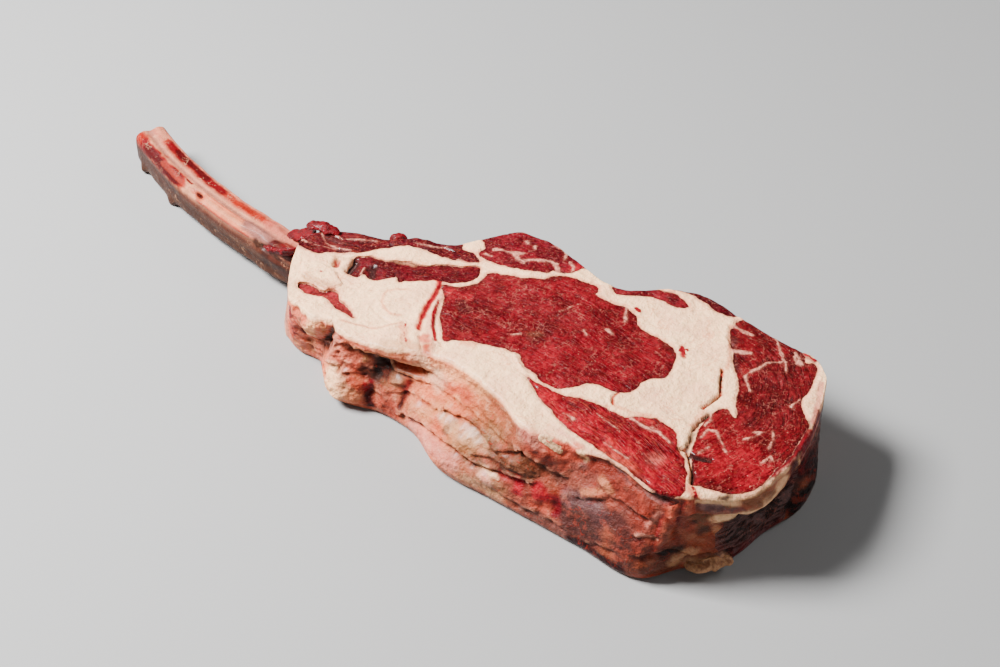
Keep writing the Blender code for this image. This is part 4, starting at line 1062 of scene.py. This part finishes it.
def scrapGrid(path, width, thick, tilt, seed, stations=70, sides=40):
    # an ellipse carried along a smooth path, turned about it and drawn in at both ends by a root of
    # the distance, with noise along its own facing
    share = np.linspace(0.0, 1.0, stations)
    middle = along(path, share)
    run = unit(np.gradient(middle, axis=0))
    level = unit(np.cross(np.array([0.0, 0.0, 1.0]), run))
    rise = np.cross(run, level)
    turn = math.radians(tilt)
    wide = level * math.cos(turn) + rise * math.sin(turn)
    flat = rise * math.cos(turn) - level * math.sin(turn)
    angle = np.linspace(0.0, 2.0 * math.pi, sides, endpoint=False)[None, :]
    shape = np.clip(4.0 * share * (1.0 - share), 0.0, 1.0)[:, None] ** 0.42 + 0.02
    rough = flatField(share[:, None] * lengthOf(path), np.cos(angle) * 9.0, 4.0, seed, 3)
    size = shape * (1.0 + 0.32 * rough)
    across = width * np.cos(angle) * size
    over = thick * np.sin(angle) * size
    return middle[:, None] + wide[:, None] * across[..., None] + flat[:, None] * over[..., None]


# materials

def node(tree, kind, inputs=None, **settings):
    # adds a node; an input given as a socket is linked, anything else is its value
    made = tree.nodes.new(kind)
    for key, value in settings.items():
        setattr(made, key, value)
    for key, value in (inputs or {}).items():
        if isinstance(value, bpy.types.NodeSocket):
            tree.links.new(value, made.inputs[key])
        else:
            made.inputs[key].default_value = value
    return made


def calc(tree, operation, *values, clamp=False):
    values = dict(enumerate(values))
    return node(tree, "ShaderNodeMath", values, operation=operation, use_clamp=clamp).outputs[0]


def times(tree, *factors):
    product = factors[-1]
    for factor in factors[-2::-1]:
        product = calc(tree, "MULTIPLY", factor, product)
    return product


def plus(tree, *terms):
    total = terms[0]
    for term in terms[1:]:
        total = calc(tree, "ADD", total, term)
    return total


def remap(tree, value, low, high, toLow=0.0, toHigh=1.0):
    # eased step between two limits
    inputs = {"Value": value, "From Min": low, "From Max": high, "To Min": toLow, "To Max": toHigh}
    return node(tree, "ShaderNodeMapRange", inputs, interpolation_type="SMOOTHSTEP").outputs["Result"]


def tint(tree, factor, first, second, how="MIX"):
    inputs = {0: factor, 6: first, 7: second}
    return node(tree, "ShaderNodeMix", inputs, data_type="RGBA", blend_type=how).outputs[2]


def flatColour(tone, gain=1.0):
    return (*(tones[tone] * gain), 1.0)


def washed(tree, colour, tone, *factors, gain=1.0, how="MIX"):
    # lays a named tone over a colour, as far as the product of the factors says
    return tint(tree, times(tree, *factors), colour, flatColour(tone, gain), how)


def shaded(tree, colour, light):
    grey = node(tree, "ShaderNodeCombineColor", {0: light, 1: light, 2: light}).outputs[0]
    return tint(tree, 1.0, colour, grey, "MULTIPLY")


def attributeOf(tree, name, output="Fac"):
    return node(tree, "ShaderNodeAttribute", attribute_name=name).outputs[output]


def vectorOf(tree, operation, first, second):
    inputs = {0: first, "Scale" if operation == "SCALE" else 1: second}
    return node(tree, "ShaderNodeVectorMath", inputs, operation=operation).outputs[0]


def millimetres(tree):
    # object coordinates in millimetres
    place = node(tree, "ShaderNodeTexCoord").outputs["Object"]
    return vectorOf(tree, "SCALE", place, 1.0 / mm)


def noiseOf(tree, vector, scale, detail=2.0, roughness=0.5):
    inputs = {"Vector": vector, "Scale": scale, "Detail": detail, "Roughness": roughness}
    return node(tree, "ShaderNodeTexNoise", inputs).outputs["Fac"]


groups = {}


def newGroup(name, result, first, **numbers):
    # shader group that takes a vector and named numbers with their usual values
    group = groups[name] = bpy.data.node_groups.new(name, "ShaderNodeTree")
    group.interface.new_socket(first, in_out="INPUT", socket_type="NodeSocketVector")
    for label, value in numbers.items():
        group.interface.new_socket(label, in_out="INPUT", socket_type="NodeSocketFloat").default_value = value
    group.interface.new_socket(result, in_out="OUTPUT", socket_type="NodeSocketFloat")
    return group, group.nodes.new("NodeGroupInput").outputs, group.nodes.new("NodeGroupOutput").inputs[0]


def useGroup(tree, name, *values):
    # a group with its inputs in their order
    return node(tree, "ShaderNodeGroup", dict(enumerate(values)), node_tree=groups[name]).outputs[0]


def buildGroups():
    # mottling: uneven light and dark patches of a size
    group, inside, result = newGroup("mottling", "Value", "Place", Size=5.0)
    value = noiseOf(group, inside["Place"], calc(group, "DIVIDE", 1.0, inside["Size"]), 3.0, 0.55)
    group.links.new(remap(group, value, 0.3, 0.7), result)

    # flecks: short strokes along the first axis of a grain
    group, inside, result = newGroup("flecks", "Mask", "Grain", Length=3.0, Width=0.5, Limit=0.62)
    size = {0: inside["Length"], 1: inside["Width"], 2: inside["Width"]}
    size = node(group, "ShaderNodeCombineXYZ", size).outputs[0]
    value = noiseOf(group, vectorOf(group, "DIVIDE", inside["Grain"], size), 1.0, 1.0, 0.5)
    group.links.new(remap(group, value, inside["Limit"], plus(group, inside["Limit"], 0.09)), result)

    # marbling: thin wandering lines where a noise passes its middle, kept in patches
    group, inside, result = newGroup("marbling", "Mask", "Place", Size=7.0, Width=0.02, Patches=0.5)
    scale = calc(group, "DIVIDE", 1.0, inside["Size"])
    value = noiseOf(group, inside["Place"], scale, 2.0, 0.6)
    away = calc(group, "ABSOLUTE", calc(group, "SUBTRACT", value, 0.5))
    line = remap(group, away, inside["Width"], times(group, inside["Width"], 0.25))
    patch = noiseOf(group, inside["Place"], times(group, scale, 0.8), 1.0)
    patch = remap(group, patch, inside["Patches"], plus(group, inside["Patches"], 0.1))
    group.links.new(times(group, line, patch), result)

    # softBorder: full where a distance is past nought, with a wandering soft border
    group, inside, result = newGroup(
        "softBorder", "Mask", "Place", Distance=0.0, Wander=0.8, Size=1.6, Soft=0.3)
    value = noiseOf(group, inside["Place"], calc(group, "DIVIDE", 1.0, inside["Size"]), 3.0, 0.6)
    shift = times(group, calc(group, "SUBTRACT", value, 0.5), inside["Wander"])
    moved = plus(group, inside["Distance"], times(group, shift, 4.0))
    group.links.new(remap(group, moved, times(group, inside["Soft"], -1.0), inside["Soft"]), result)


buildGroups()

# moist tissue: a little light passes under the surface, with a thin wet film over it; relief is
# the depth of the bump in millimetres
tissue = dict(
    fat=dict(soft=0.12, film=0.12, filmRoughness=0.22, relief=0.42),
    meat=dict(soft=0.03, film=0.11, filmRoughness=0.09, relief=0.26),
    bone=dict(soft=0.04, film=0.06, filmRoughness=0.2, relief=0.2),
    scrap=dict(soft=0.05, film=0.08, filmRoughness=0.15, relief=0.2),
)
glow = dict(radius=(1.0, 0.35, 0.22), scale=0.003, specular=0.07)      # the same on every tissue


def newMaterial(name, kind):
    made = bpy.data.materials.new(name)
    made.use_nodes = True
    setInputs(made.node_tree.nodes, "Principled BSDF", Subsurface_Weight=tissue[kind]["soft"],
              Subsurface_Radius=glow["radius"], Subsurface_Scale=glow["scale"],
              Specular_IOR_Level=glow["specular"], Coat_Weight=tissue[kind]["film"],
              Coat_Roughness=tissue[kind]["filmRoughness"])
    return made, made.node_tree, millimetres(made.node_tree)


def finish(tree, kind, colour, roughness, height):
    shader = tree.nodes["Principled BSDF"]
    depth = tissue[kind]["relief"] * mm
    bump = node(tree, "ShaderNodeBump", {"Height": height, "Strength": 1.0, "Distance": depth})
    tree.links.new(colour, shader.inputs["Base Color"])
    tree.links.new(roughness, shader.inputs["Roughness"])
    tree.links.new(bump.outputs["Normal"], shader.inputs["Normal"])


# stain is the strength of the blood near the meat; the shade is painted shade on the outer side, how dark it
# is made in red, green and blue along the rim in millimetres: darker towards the far end, away from the key
# lamp, and partly the wall's own darker tone
fatLook = dict(stain=0.5,
               paintedShadeAt=(0, 40, 80, 104, 125, 152, 185, 215, 250, 300, 384, 420),
               paintedShade=((0.9, 0.95, 0.55, 1.0, 0.85, 0.44, 0.38, 0.34, 0.32, 0.42, 0.42, 0.8),
                      (0.62, 0.66, 0.34, 0.70, 0.52, 0.36, 0.26, 0.23, 0.20, 0.28, 0.28, 0.72),
                      (0.52, 0.52, 0.28, 0.56, 0.38, 0.26, 0.22, 0.22, 0.18, 0.24, 0.24, 0.75)))


def fatMaterial():
    made, tree, place = newMaterial("fatTissue", "fat")
    paint, grain = attributeOf(tree, "paint", "Color"), attributeOf(tree, "grain", "Vector")
    side, border, hollow, calm = (attributeOf(tree, name) for name in ("side", "border", "hollow", "calm"))
    broad, patches, clumps, fine = (useGroup(tree, "mottling", place, size) for size in (17.0, 7.0, 2.6, 1.1))
    cut = calc(tree, "SUBTRACT", 1.0, side)

    # cut face: warm patches where the paint is pale, fine grain, faint blood near the meat, red spots
    green = node(tree, "ShaderNodeSeparateColor", {0: paint}).outputs[1]
    plain = times(tree, cut, remap(tree, green, 0.15, 0.40))
    colour = washed(tree, paint, "blush", patches, plain, 0.34)
    colour = washed(tree, colour, "shell", remap(tree, broad, 0.45, 1.0), plain, 0.30)
    grains = times(tree, remap(tree, clumps, 0.0, 1.0, 0.93, 1.04), remap(tree, fine, 0.0, 1.0, 0.95, 1.03))
    colour = shaded(tree, colour, grains)
    blood = useGroup(tree, "softBorder", place, calc(tree, "SUBTRACT", 0.9, border), 1.1, 2.0, 1.2)
    colour = washed(tree, colour, "salmon", blood, plain, fatLook["stain"])
    colour = washed(tree, colour, "peach", useGroup(tree, "marbling", place, 12.0, 0.016, 0.47), plain, 0.5)
    mark = useGroup(tree, "softBorder", place, attributeOf(tree, "mark"), 0.5, 1.1, 0.35)
    blot = tint(tree, clumps, flatColour("scarlet"), flatColour("crimson"))
    colour = tint(tree, times(tree, mark, cut), colour, blot)
    colour = washed(tree, colour, "scarlet", useGroup(tree, "flecks", place, 0.8, 0.7, 0.735), cut, 0.7)

    # outer side: clotted light and dark, drawn out a little along it, with small vessels
    drawn = vectorOf(tree, "ADD", vectorOf(tree, "MULTIPLY", grain, (0.42, 1.0, 1.0)), place)
    clot = noiseOf(tree, drawn, 0.16, 4.0, 0.62)
    loud = calc(tree, "SUBTRACT", side, times(tree, calm, 0.8), clamp=True)
    light = times(tree, remap(tree, clot, 0.50, 0.70), loud, 0.26)
    colour = washed(tree, colour, "blush", light, remap(tree, green, 0.01, 0.07))
    dark = remap(tree, clot, 0.49, 0.32)
    colour = washed(tree, colour, "hazel", dark, loud, 0.42, gain=3.2, how="MULTIPLY")
    flush = remap(tree, noiseOf(tree, drawn, 0.09, 3.0, 0.6), 0.52, 0.64)
    colour = washed(tree, colour, "salmon", flush, side, 0.22)
    colour = washed(tree, colour, "rust", useGroup(tree, "marbling", drawn, 11.0, 0.013, 0.47), side, 0.5)
    # painted light on the ridges of the front and painted shade in its hollows, from how far each place lies
    # below the relief round it
    colour = washed(tree, colour, "blush", remap(tree, hollow, -0.08, -0.8), 0.14, gain=0.9)
    colour = washed(tree, colour, "hazel", remap(tree, hollow, 0.06, 0.75), 0.75, gain=2.2, how="MULTIPLY")

    rough = calc(tree, "SUBTRACT", remap(tree, patches, 0.0, 1.0, 0.44, 0.60), times(tree, side, 0.16))
    height = plus(tree, times(tree, clumps, 0.9), times(tree, fine, 0.3), times(tree, clot, side, 3.0))
    finish(tree, "fat", colour, rough, height)
    return made


# fleck holds the flecks' length, width and limit, web the marbling's size, width and patches, run the
# line that the fibres follow; sink is how far the cut meat lies below the fat
meatShade = (0.62, 0.42, 0.58)      # what every muscle's tone is multiplied by
meatLooks = dict(
    eye_muscle=dict(
        sink=0.5, streaks=0.10, tone=(0.161, 0.004, 0.008), fleck=(2.4, 0.55, 0.60), fleckGain=0.1,
        web=(7.0, 0.022, 0.46), bundle=9.0, run=[(30, 4), (90, 8), (150, 2)]),
    cap_muscle=dict(
        sink=0.5, streaks=0.22, tone=(0.121, 0.004, 0.006), fleck=(2.6, 0.6, 0.60), fleckGain=0.12,
        web=(6.0, 0.024, 0.45), bundle=12.0,
        run=[(168, 56), (186, 50), (199, 38), (207, 20), (210, 0), (205, -22), (198, -40)]),
    flank_muscle=dict(
        sink=0.5, streaks=0.3, tone=(0.190, 0.003, 0.008), fleck=(6.5, 0.7, 0.58), fleckGain=0.3,
        web=(8.0, 0.016, 0.52), bundle=14.0, run=[(100, -32), (140, -39), (194, -56)]),
    inner_muscle=dict(
        sink=1.1, streaks=0.2, tone=(0.085, 0.003, 0.006), fleck=(3.0, 0.6, 0.62), fleckGain=0.15,
        web=(6.0, 0.008, 0.56), bundle=9.0, run=[(-36, 2), (0, 13), (28, 27)]),
    rib_muscle=dict(
        sink=0.4, streaks=0.3, tone=(0.066, 0.002, 0.005), fleck=(6.0, 0.6, 0.57), fleckGain=0.25,
        web=(5.0, 0.012, 0.50), bundle=13.0, run=[(-75, 8), (-45, 16), (-15, 33), (22, 36)]),
    lobe_muscle=dict(
        sink=0.4, streaks=0.2, tone=(0.125, 0.003, 0.008), fleck=(2.6, 0.6, 0.58), fleckGain=0.15,
        web=(5.0, 0.014, 0.48), bundle=9.0, run=[(12, 50), (42, 54), (74, 54)]),
    oval_muscle=dict(
        sink=0.6, streaks=0.2, tone=(0.152, 0.007, 0.011), fleck=(3.0, 0.5, 0.60), fleckGain=0.2,
        web=(6.0, 0.008, 0.56), bundle=8.0, run=[(98, 52), (134, 58)]),
    edge_muscle=dict(
        sink=0.4, streaks=0.2, tone=(0.066, 0.002, 0.005), fleck=(3.0, 0.6, 0.58), fleckGain=0.15,
        web=(5.0, 0.014, 0.50), bundle=8.0, run=[(122, 70), (164, 67)]),
    slit_muscle=dict(
        sink=1.9, streaks=0.2, tone=(0.217, 0.016, 0.017), fleck=(4.0, 0.7, 0.58), fleckGain=0.2,
        web=(6.0, 0.010, 0.52), bundle=8.0, run=[(-48, -27), (-26, -25), (-6, -35)]),
)


def meatMaterial(name, look):
    made, tree, place = newMaterial(name, "meat")
    paint, grain = attributeOf(tree, "paint", "Color"), attributeOf(tree, "grain", "Vector")
    side, border, vein = (attributeOf(tree, name) for name in ("side", "border", "vein"))
    cut = calc(tree, "SUBTRACT", 1.0, side)
    patches, pebble = useGroup(tree, "mottling", place, 11.0), useGroup(tree, "mottling", place, 1.9)
    bundle = useGroup(tree, "flecks", grain, look["bundle"], 2.0, 0.44)
    shadow = useGroup(tree, "flecks", grain, look["bundle"], 1.0, 0.57)
    fleck = useGroup(tree, "flecks", grain, *look["fleck"])

    # light and dark in patches, grains and bundles of fibres, darker at the border
    light = times(tree, remap(tree, patches, 0.1, 0.9, 0.66, 1.28), remap(tree, pebble, 0.1, 0.9, 0.74, 1.24))
    streaks = times(tree, calc(tree, "SUBTRACT", bundle, shadow), look["streaks"])
    light = times(tree, light, plus(tree, 1.0, streaks))
    light = times(tree, light, remap(tree, border, 0.1, 1.6, 0.55, 1.0))
    colour = shaded(tree, paint, light)

    # pale flecks and nets of fat
    colour = washed(tree, colour, "salmon", fleck, look["fleckGain"])
    colour = washed(tree, colour, "salmon", useGroup(tree, "marbling", place, 2.6, 0.035, 0.47), 0.10)
    colour = washed(tree, colour, "shell", useGroup(tree, "flecks", place, 0.8, 0.7, 0.68), 0.55, gain=0.8)
    colour = washed(tree, colour, "rose", useGroup(tree, "marbling", place, *look["web"]), 0.24, gain=0.8)

    # veins with a pale halo, and the fringe of fat where the muscle ends
    broken = remap(tree, noiseOf(tree, place, 0.55, 3.0, 0.7), 0.36, 0.56, 0.25, 1.0)
    halo = useGroup(tree, "softBorder", place, plus(tree, vein, 0.3), 0.7, 1.4, 0.8)
    colour = washed(tree, colour, "rose", halo, cut, 0.4, gain=0.55)
    fatLine = useGroup(tree, "softBorder", place, calc(tree, "SUBTRACT", vein, 0.15), 0.6, 1.2, 0.45)
    fatLine = times(tree, fatLine, broken)
    colour = washed(tree, colour, "shell", fatLine, cut, 0.8)
    fringe = useGroup(tree, "softBorder", place, calc(tree, "SUBTRACT", 0.1, border), 0.42, 1.5, 0.3)
    colour = washed(tree, colour, "shell", fringe, cut, 0.85)
    skin = useGroup(tree, "flecks", grain, 11.0, 1.8, 0.46)
    colour = washed(tree, colour, "mauve", skin, side, 0.35, gain=0.8)

    rough = calc(tree, "SUBTRACT", remap(tree, pebble, 0.0, 1.0, 0.34, 0.52), times(tree, side, 0.08))
    height = plus(tree, times(tree, pebble, 0.8), times(tree, bundle, 0.5), times(tree, fleck, 0.5),
                  times(tree, shadow, -0.8), times(tree, fatLine, 0.5))
    finish(tree, "meat", colour, rough, height)
    return made


def boneMaterial():
    made, tree, place = newMaterial("boneTissue", "bone")
    patches, fine = useGroup(tree, "mottling", place, 6.0), useGroup(tree, "mottling", place, 1.0)
    light = times(tree, remap(tree, patches, 0.0, 1.0, 0.88, 1.10), remap(tree, fine, 0.0, 1.0, 0.90, 1.08))
    colour = shaded(tree, attributeOf(tree, "paint", "Color"), light)
    colour = washed(tree, colour, "blush", useGroup(tree, "marbling", place, 5.0, 0.015, 0.5), 0.3)
    height = plus(tree, times(tree, fine, 0.7), times(tree, patches, 0.6))
    finish(tree, "bone", colour, remap(tree, fine, 0.0, 1.0, 0.36, 0.50), height)
    return made


def scrapMaterial(name, tone, meat):
    made, tree, place = newMaterial(name, "scrap")
    patches, fine = useGroup(tree, "mottling", place, 3.0), useGroup(tree, "mottling", place, 0.9)
    dark = remap(tree, patches, 0.2, 0.9, 0.2, 0.85)
    colour = tint(tree, dark, flatColour(tone), flatColour("blood" if meat else "fawn"))
    streak = useGroup(tree, "flecks", place, 3.0, 0.7, 0.6)
    colour = washed(tree, colour, "salmon" if meat else "cream", streak, 0.1)
    finish(tree, "scrap", colour, remap(tree, fine, 0.0, 1.0, 0.32, 0.48), fine)
    return made


# dressing: fields on the cut pieces

def runOf(x, y, line):
    # length along a muscle's run and distance across it
    fine = along(line, np.linspace(0.0, 1.0, 40))
    steps = runAlong(fine)
    places = np.stack([x, y], axis=1)
    far = np.full(len(places), 1e6)
    reach, across = np.zeros(len(places)), np.zeros(len(places))
    last = len(fine) - 2
    for i, (start, end) in enumerate(zip(fine[:-1], fine[1:])):
        run = end - start
        size = np.linalg.norm(run)
        low, high = -3.0 if i == 0 else 0.0, 4.0 if i == last else 1.0
        share = np.clip((places - start) @ run / (run @ run), low, high)
        off = places - start - share[:, None] * run
        away = np.linalg.norm(off, axis=1)
        nearer = away < far
        far = np.where(nearer, away, far)
        reach = np.where(nearer, steps[i] + share * size, reach)
        across = np.where(nearer, (run[0] * off[:, 1] - run[1] * off[:, 0]) / size, across)
    return reach, across


def sideMask(places):
    # nought on the two cut faces, one on the outer side
    below = topHeight(places[:, 0], places[:, 1]) + 0.3 - places[:, 2]
    return ease((below - 1.2) / 1.8) * ease((places[:, 2] - 0.15) / 1.0)


def rimLength(places):
    # length along the whole outer edge, by the nearest of its points in plan
    fine = np.linspace(0.0, 1.0, 260)
    edge = np.vstack([along(steak["frontRim"], fine), along(steak["backRim"], fine)[::-1]])
    far = np.full(len(places), 1e9)
    reach = np.zeros(len(places))
    for point, step in zip(edge, runAlong(edge)):
        away = (places[:, 0] - point[0]) ** 2 + (places[:, 1] - point[1]) ** 2
        reach = np.where(away < far, step, reach)
        far = np.minimum(far, away)
    return reach


def nearTop(places, depth):
    # one on the cut face, nought from a depth under it
    below = topHeight(places[:, 0], places[:, 1]) - places[:, 2]
    return 1.0 - ease(below / depth)


def lineField(places, lines):
    # distance inside the nearest line of a list, positive in it
    field = np.full(len(places), -8.0)
    for half, *numbers in lines:
        line = pairs(numbers)
        near = nearby(places[:, :2], line, 5.0)
        spots = places[near, :2]
        far = lineDistance(spots, line)[0] + 0.5 * flatField(spots[:, 0], spots[:, 1], 3.2, 97)
        uneven = 0.8 + 0.6 * flatField(spots[:, 0], spots[:, 1], 2.2, 95)
        field[near] = np.maximum(field[near], half * uneven - far)
    return field


def wallHollows(places, side):
    # how far each place on the front wall lies below the mean of the relief round it
    share, down = np.linspace(0.0, 1.0, 420), np.linspace(0.0, 1.0, 84)
    push = frontRelief(share[:, None], down[None, :])
    mean = np.pad(push, 5, mode="edge")
    for axis in (0, 1, 0, 1):
        mean = sum(np.roll(mean, step, axis) for step in range(-2, 3)) / 5.0
    hollow = (mean[5:-5, 5:-5] - push).ravel()
    spots = np.stack(np.meshgrid(share, down, indexing="ij"), axis=2).reshape(-1, 2)
    tree = kdtree.KDTree(len(spots))
    for index, place in enumerate(onFront(spots)):
        tree.insert(place, index)
    tree.balance()
    found = np.zeros(len(places))
    for index in np.flatnonzero(side > 0.02):
        near, far = tree.find(places[index])[1:]
        found[index] = hollow[near] if far < 3.0 else 0.0
    return found


def dressUpper(colours, places, strokes):
    # strokes of the cut face, on the places near it
    upper = places[:, 2] > steak["upperFrom"]
    colours[upper] = brush(colours[upper], flattened(places[upper]), strokes, onTop)


def keepLooks(mesh, places, fields, material):
    # the fields, the places kept within the box of the CAD, and the material
    for name, values in fields.items():
        keepField(mesh, name, values)
    mesh.vertices.foreach_set("co", (held(places) * mm).astype(np.float32).ravel())
    mesh.update()
    mesh.materials.clear()
    mesh.materials.append(material)


def dressFat(item):
    # cream on the cut face and peach to rose on the outer side, with the strokes, a painted shade along the
    # rim (partly the wall's own darker tone), torn blood and fat on the back wall, and a lip where the fat
    # meets a muscle
    places = placesOf(item.data)
    side = sideMask(places)
    border = np.full(len(places), 30.0)
    for outline in outlines.values():
        near = nearby(places[:, :2], outline, 7.0)
        border[near] = np.minimum(border[near], -insideDistance(places[near, :2], outline))
    rim = rimLength(places)
    level = places[:, 2]
    warm = ease(0.5 + 0.6 * roughField(places, 24.0, 91))[:, None]
    skin = tones["peach"] * (1.0 - warm) + tones["rose"] * warm
    colours = np.ones((len(places), 4))
    colours[:, :3] = tones["cream"] * (1.0 - side[:, None]) + skin * side[:, None]
    brush(colours, places, paintwork["front"], onFrontWall)
    dressUpper(colours, places, paintwork["cutFat"])
    # painted shade: the outer side is darkened along the rim, partly also its own darker tone
    paintedShade = np.column_stack([np.interp(rim, fatLook["paintedShadeAt"], levels) for levels in fatLook["paintedShade"]])
    colours[:, :3] *= 1.0 - side[:, None] * (1.0 - paintedShade)
    brush(colours, places, paintwork["frontBright"], onFrontWall)
    behind = side * ease((rim - frontLength - 6.0) / 12.0)
    torn = ease(0.5 + 0.8 * flatField(rim / 1.6, level, 5.0, 107, 3))
    bloody = behind * torn * bell(border / 3.5)
    blendTone(colours, tones["crimson"], 0.9 * bloody)
    pale = behind * ease(0.3 + 0.9 * flatField(rim / 2.6, level, 7.0, 109, 3)) * (1.0 - bloody)
    blendTone(colours, tones["shell"], 0.5 * pale)
    colours[:, :3] *= (1.0 + 0.4 * behind * flatField(rim / 2.0, level, 3.6, 113, 3))[:, None]
    fields = dict(
        paint=colours, side=side, border=border, mark=lineField(places, redMarks),
        hollow=wallHollows(places, side), calm=bell((rim - 235.0) / 34.0) + bell((rim - 335.0) / 38.0),
        grain=np.column_stack([rim, level, np.zeros(len(places))]))
    lip = 0.35 * bell(border / 0.8) - 0.15 * bell((border - 2.2) / 1.2)
    places[:, 2] -= lip * nearTop(places, 2.5)
    keepLooks(item.data, places, fields, fatMaterial())


def dressMeat(item, name):
    # the muscle's own tone with the strokes, fibres along its run that bend to the rim on the outer
    # side, and a surface sunk a little below the fat and puffed up between its veins
    look = meatLooks[name]
    places = placesOf(item.data)
    x, y, level = places.T
    side = sideMask(places)
    border = insideDistance(places[:, :2], outlines[name])
    vein = lineField(places, veins)
    reach, across = runOf(x, y, look["run"])
    swing = 1.6 * flatField(x, y, 14.0, 99)
    rim = rimLength(places)
    grain = np.column_stack([reach, across + swing, level])
    skin = np.column_stack([rim, level, np.zeros(len(places))])
    grain = grain * (1.0 - side[:, None]) + skin * side[:, None]
    colours = np.ones((len(places), 4))
    colours[:, :3] = np.array(look["tone"]) * meatShade
    colours[:, :3] *= 1.0 - 0.2 * side[:, None]
    pale = ease(1.1 * flatField(rim / 3.0, level, 8.0, 111, 3) - 0.1) + 0.8 * bell(border / 1.6)
    blendTone(colours, 0.5 * tones["rose"], 0.4 * side * pale)
    brush(colours, places, paintwork["front"], onFrontWall)
    dressUpper(colours, places, paintwork["cutMeat"])
    fibres = (0.04 + 0.4 * look["streaks"]) * flatField(grain[:, 0] / 6.0, grain[:, 1], 1.3, 101, 1)
    fibres += 0.16 * flatField(grain[:, 0] / 2.0, grain[:, 1], 3.4, 103, 2)
    puff = 0.25 * ease(border / 4.0) + 0.3 * ease(vein / 1.0 + 0.5)
    fields = dict(paint=colours, side=side, border=border, vein=vein, grain=grain)
    places[:, 2] += (fibres + puff - look["sink"]) * nearTop(places, 3.5)
    keepLooks(item.data, places, fields, meatMaterial(name.replace("_muscle", "Meat"), look))


outlines = {name: raggedOutline(name) for name in muscles["outlines"]}
print("outlines drawn:", sum(len(outline) for outline in outlines.values()), "points")

# stations along the steak, then rows of the cut face, front, back, base and each rounding
meshRows = dict(fat=(440, 136, 84, 30, 12, 6), meat=(620, 290, 44, 34, 26, 5),
                quickFat=(300, 120, 50, 24, 20, 4), quickMeat=(380, 170, 30, 24, 20, 4))
fatGrid = steakGrid(*meshRows["fat"])
meatGrid = steakGrid(*meshRows["meat"])
print("blank surfaces worked out")
fatItem = addItem("fatCover", closedTube("fatCover", fatGrid))
blankItem = addItem("meatBlank", closedTube("meatBlank", meatGrid))
boneCutter = addItem("boneCutter", closedTube("boneCutter", boneGrid(bone["cutterGrow"])))
prisms = {name: uprightPrism(name.split("_")[0] + "Cutter", outline) for name, outline in outlines.items()}
carved(fatItem, [("DIFFERENCE", prism) for prism in prisms.values()] + [("DIFFERENCE", boneCutter)])
print("fat cut:", len(fatItem.data.polygons), "faces")
meatItems = {}
for name, prism in prisms.items():
    item = addItem(name.split("_")[0] + "Muscle", blankItem.data.copy())
    steps = [("INTERSECT", prism)]
    if name in ("rib_muscle", "inner_muscle"):
        steps.append(("DIFFERENCE", boneCutter))
    carved(item, steps)
    meatItems[name] = item
    print("muscle cut:", item.name, len(item.data.polygons), "faces")
for item in list(prisms.values()) + [blankItem, boneCutter]:
    drop(item)

boneItem = addItem("ribBone", closedTube("ribBone", boneGrid()))
keepField(boneItem.data, "paint", boneColours())
boneItem.data.materials.append(boneMaterial())
print("bone ready:", len(boneItem.data.polygons), "faces")

sharpFrom = dict(meat=50, bone=60)      # degrees between faces past which an edge stays sharp
for name, item in meatItems.items():
    dressMeat(item, name)
    smoothed(item.data, sharpFrom["meat"])
    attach(item, "root")
    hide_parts(name)
print("muscles dressed")
dressFat(fatItem)
smoothed(fatItem.data, sharpFrom["meat"])
smoothed(boneItem.data, sharpFrom["bone"])
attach(fatItem, "root")
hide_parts("fat_cover")
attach(boneItem, "root")
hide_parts("rib_bone")
print("fat and bone dressed")

for seed, (name, (path, width, thick, tilt, tone, isMeat)) in enumerate(scraps.items(), 120):
    item = addItem(name, closedTube(name, scrapGrid(path, width, thick, tilt, seed)))
    item.data.materials.append(scrapMaterial(name + "Tissue", tone, isMeat))
    smoothed(item.data, sharpFrom["bone"])
    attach(item, "root")
print("scraps ready:", len(scraps))
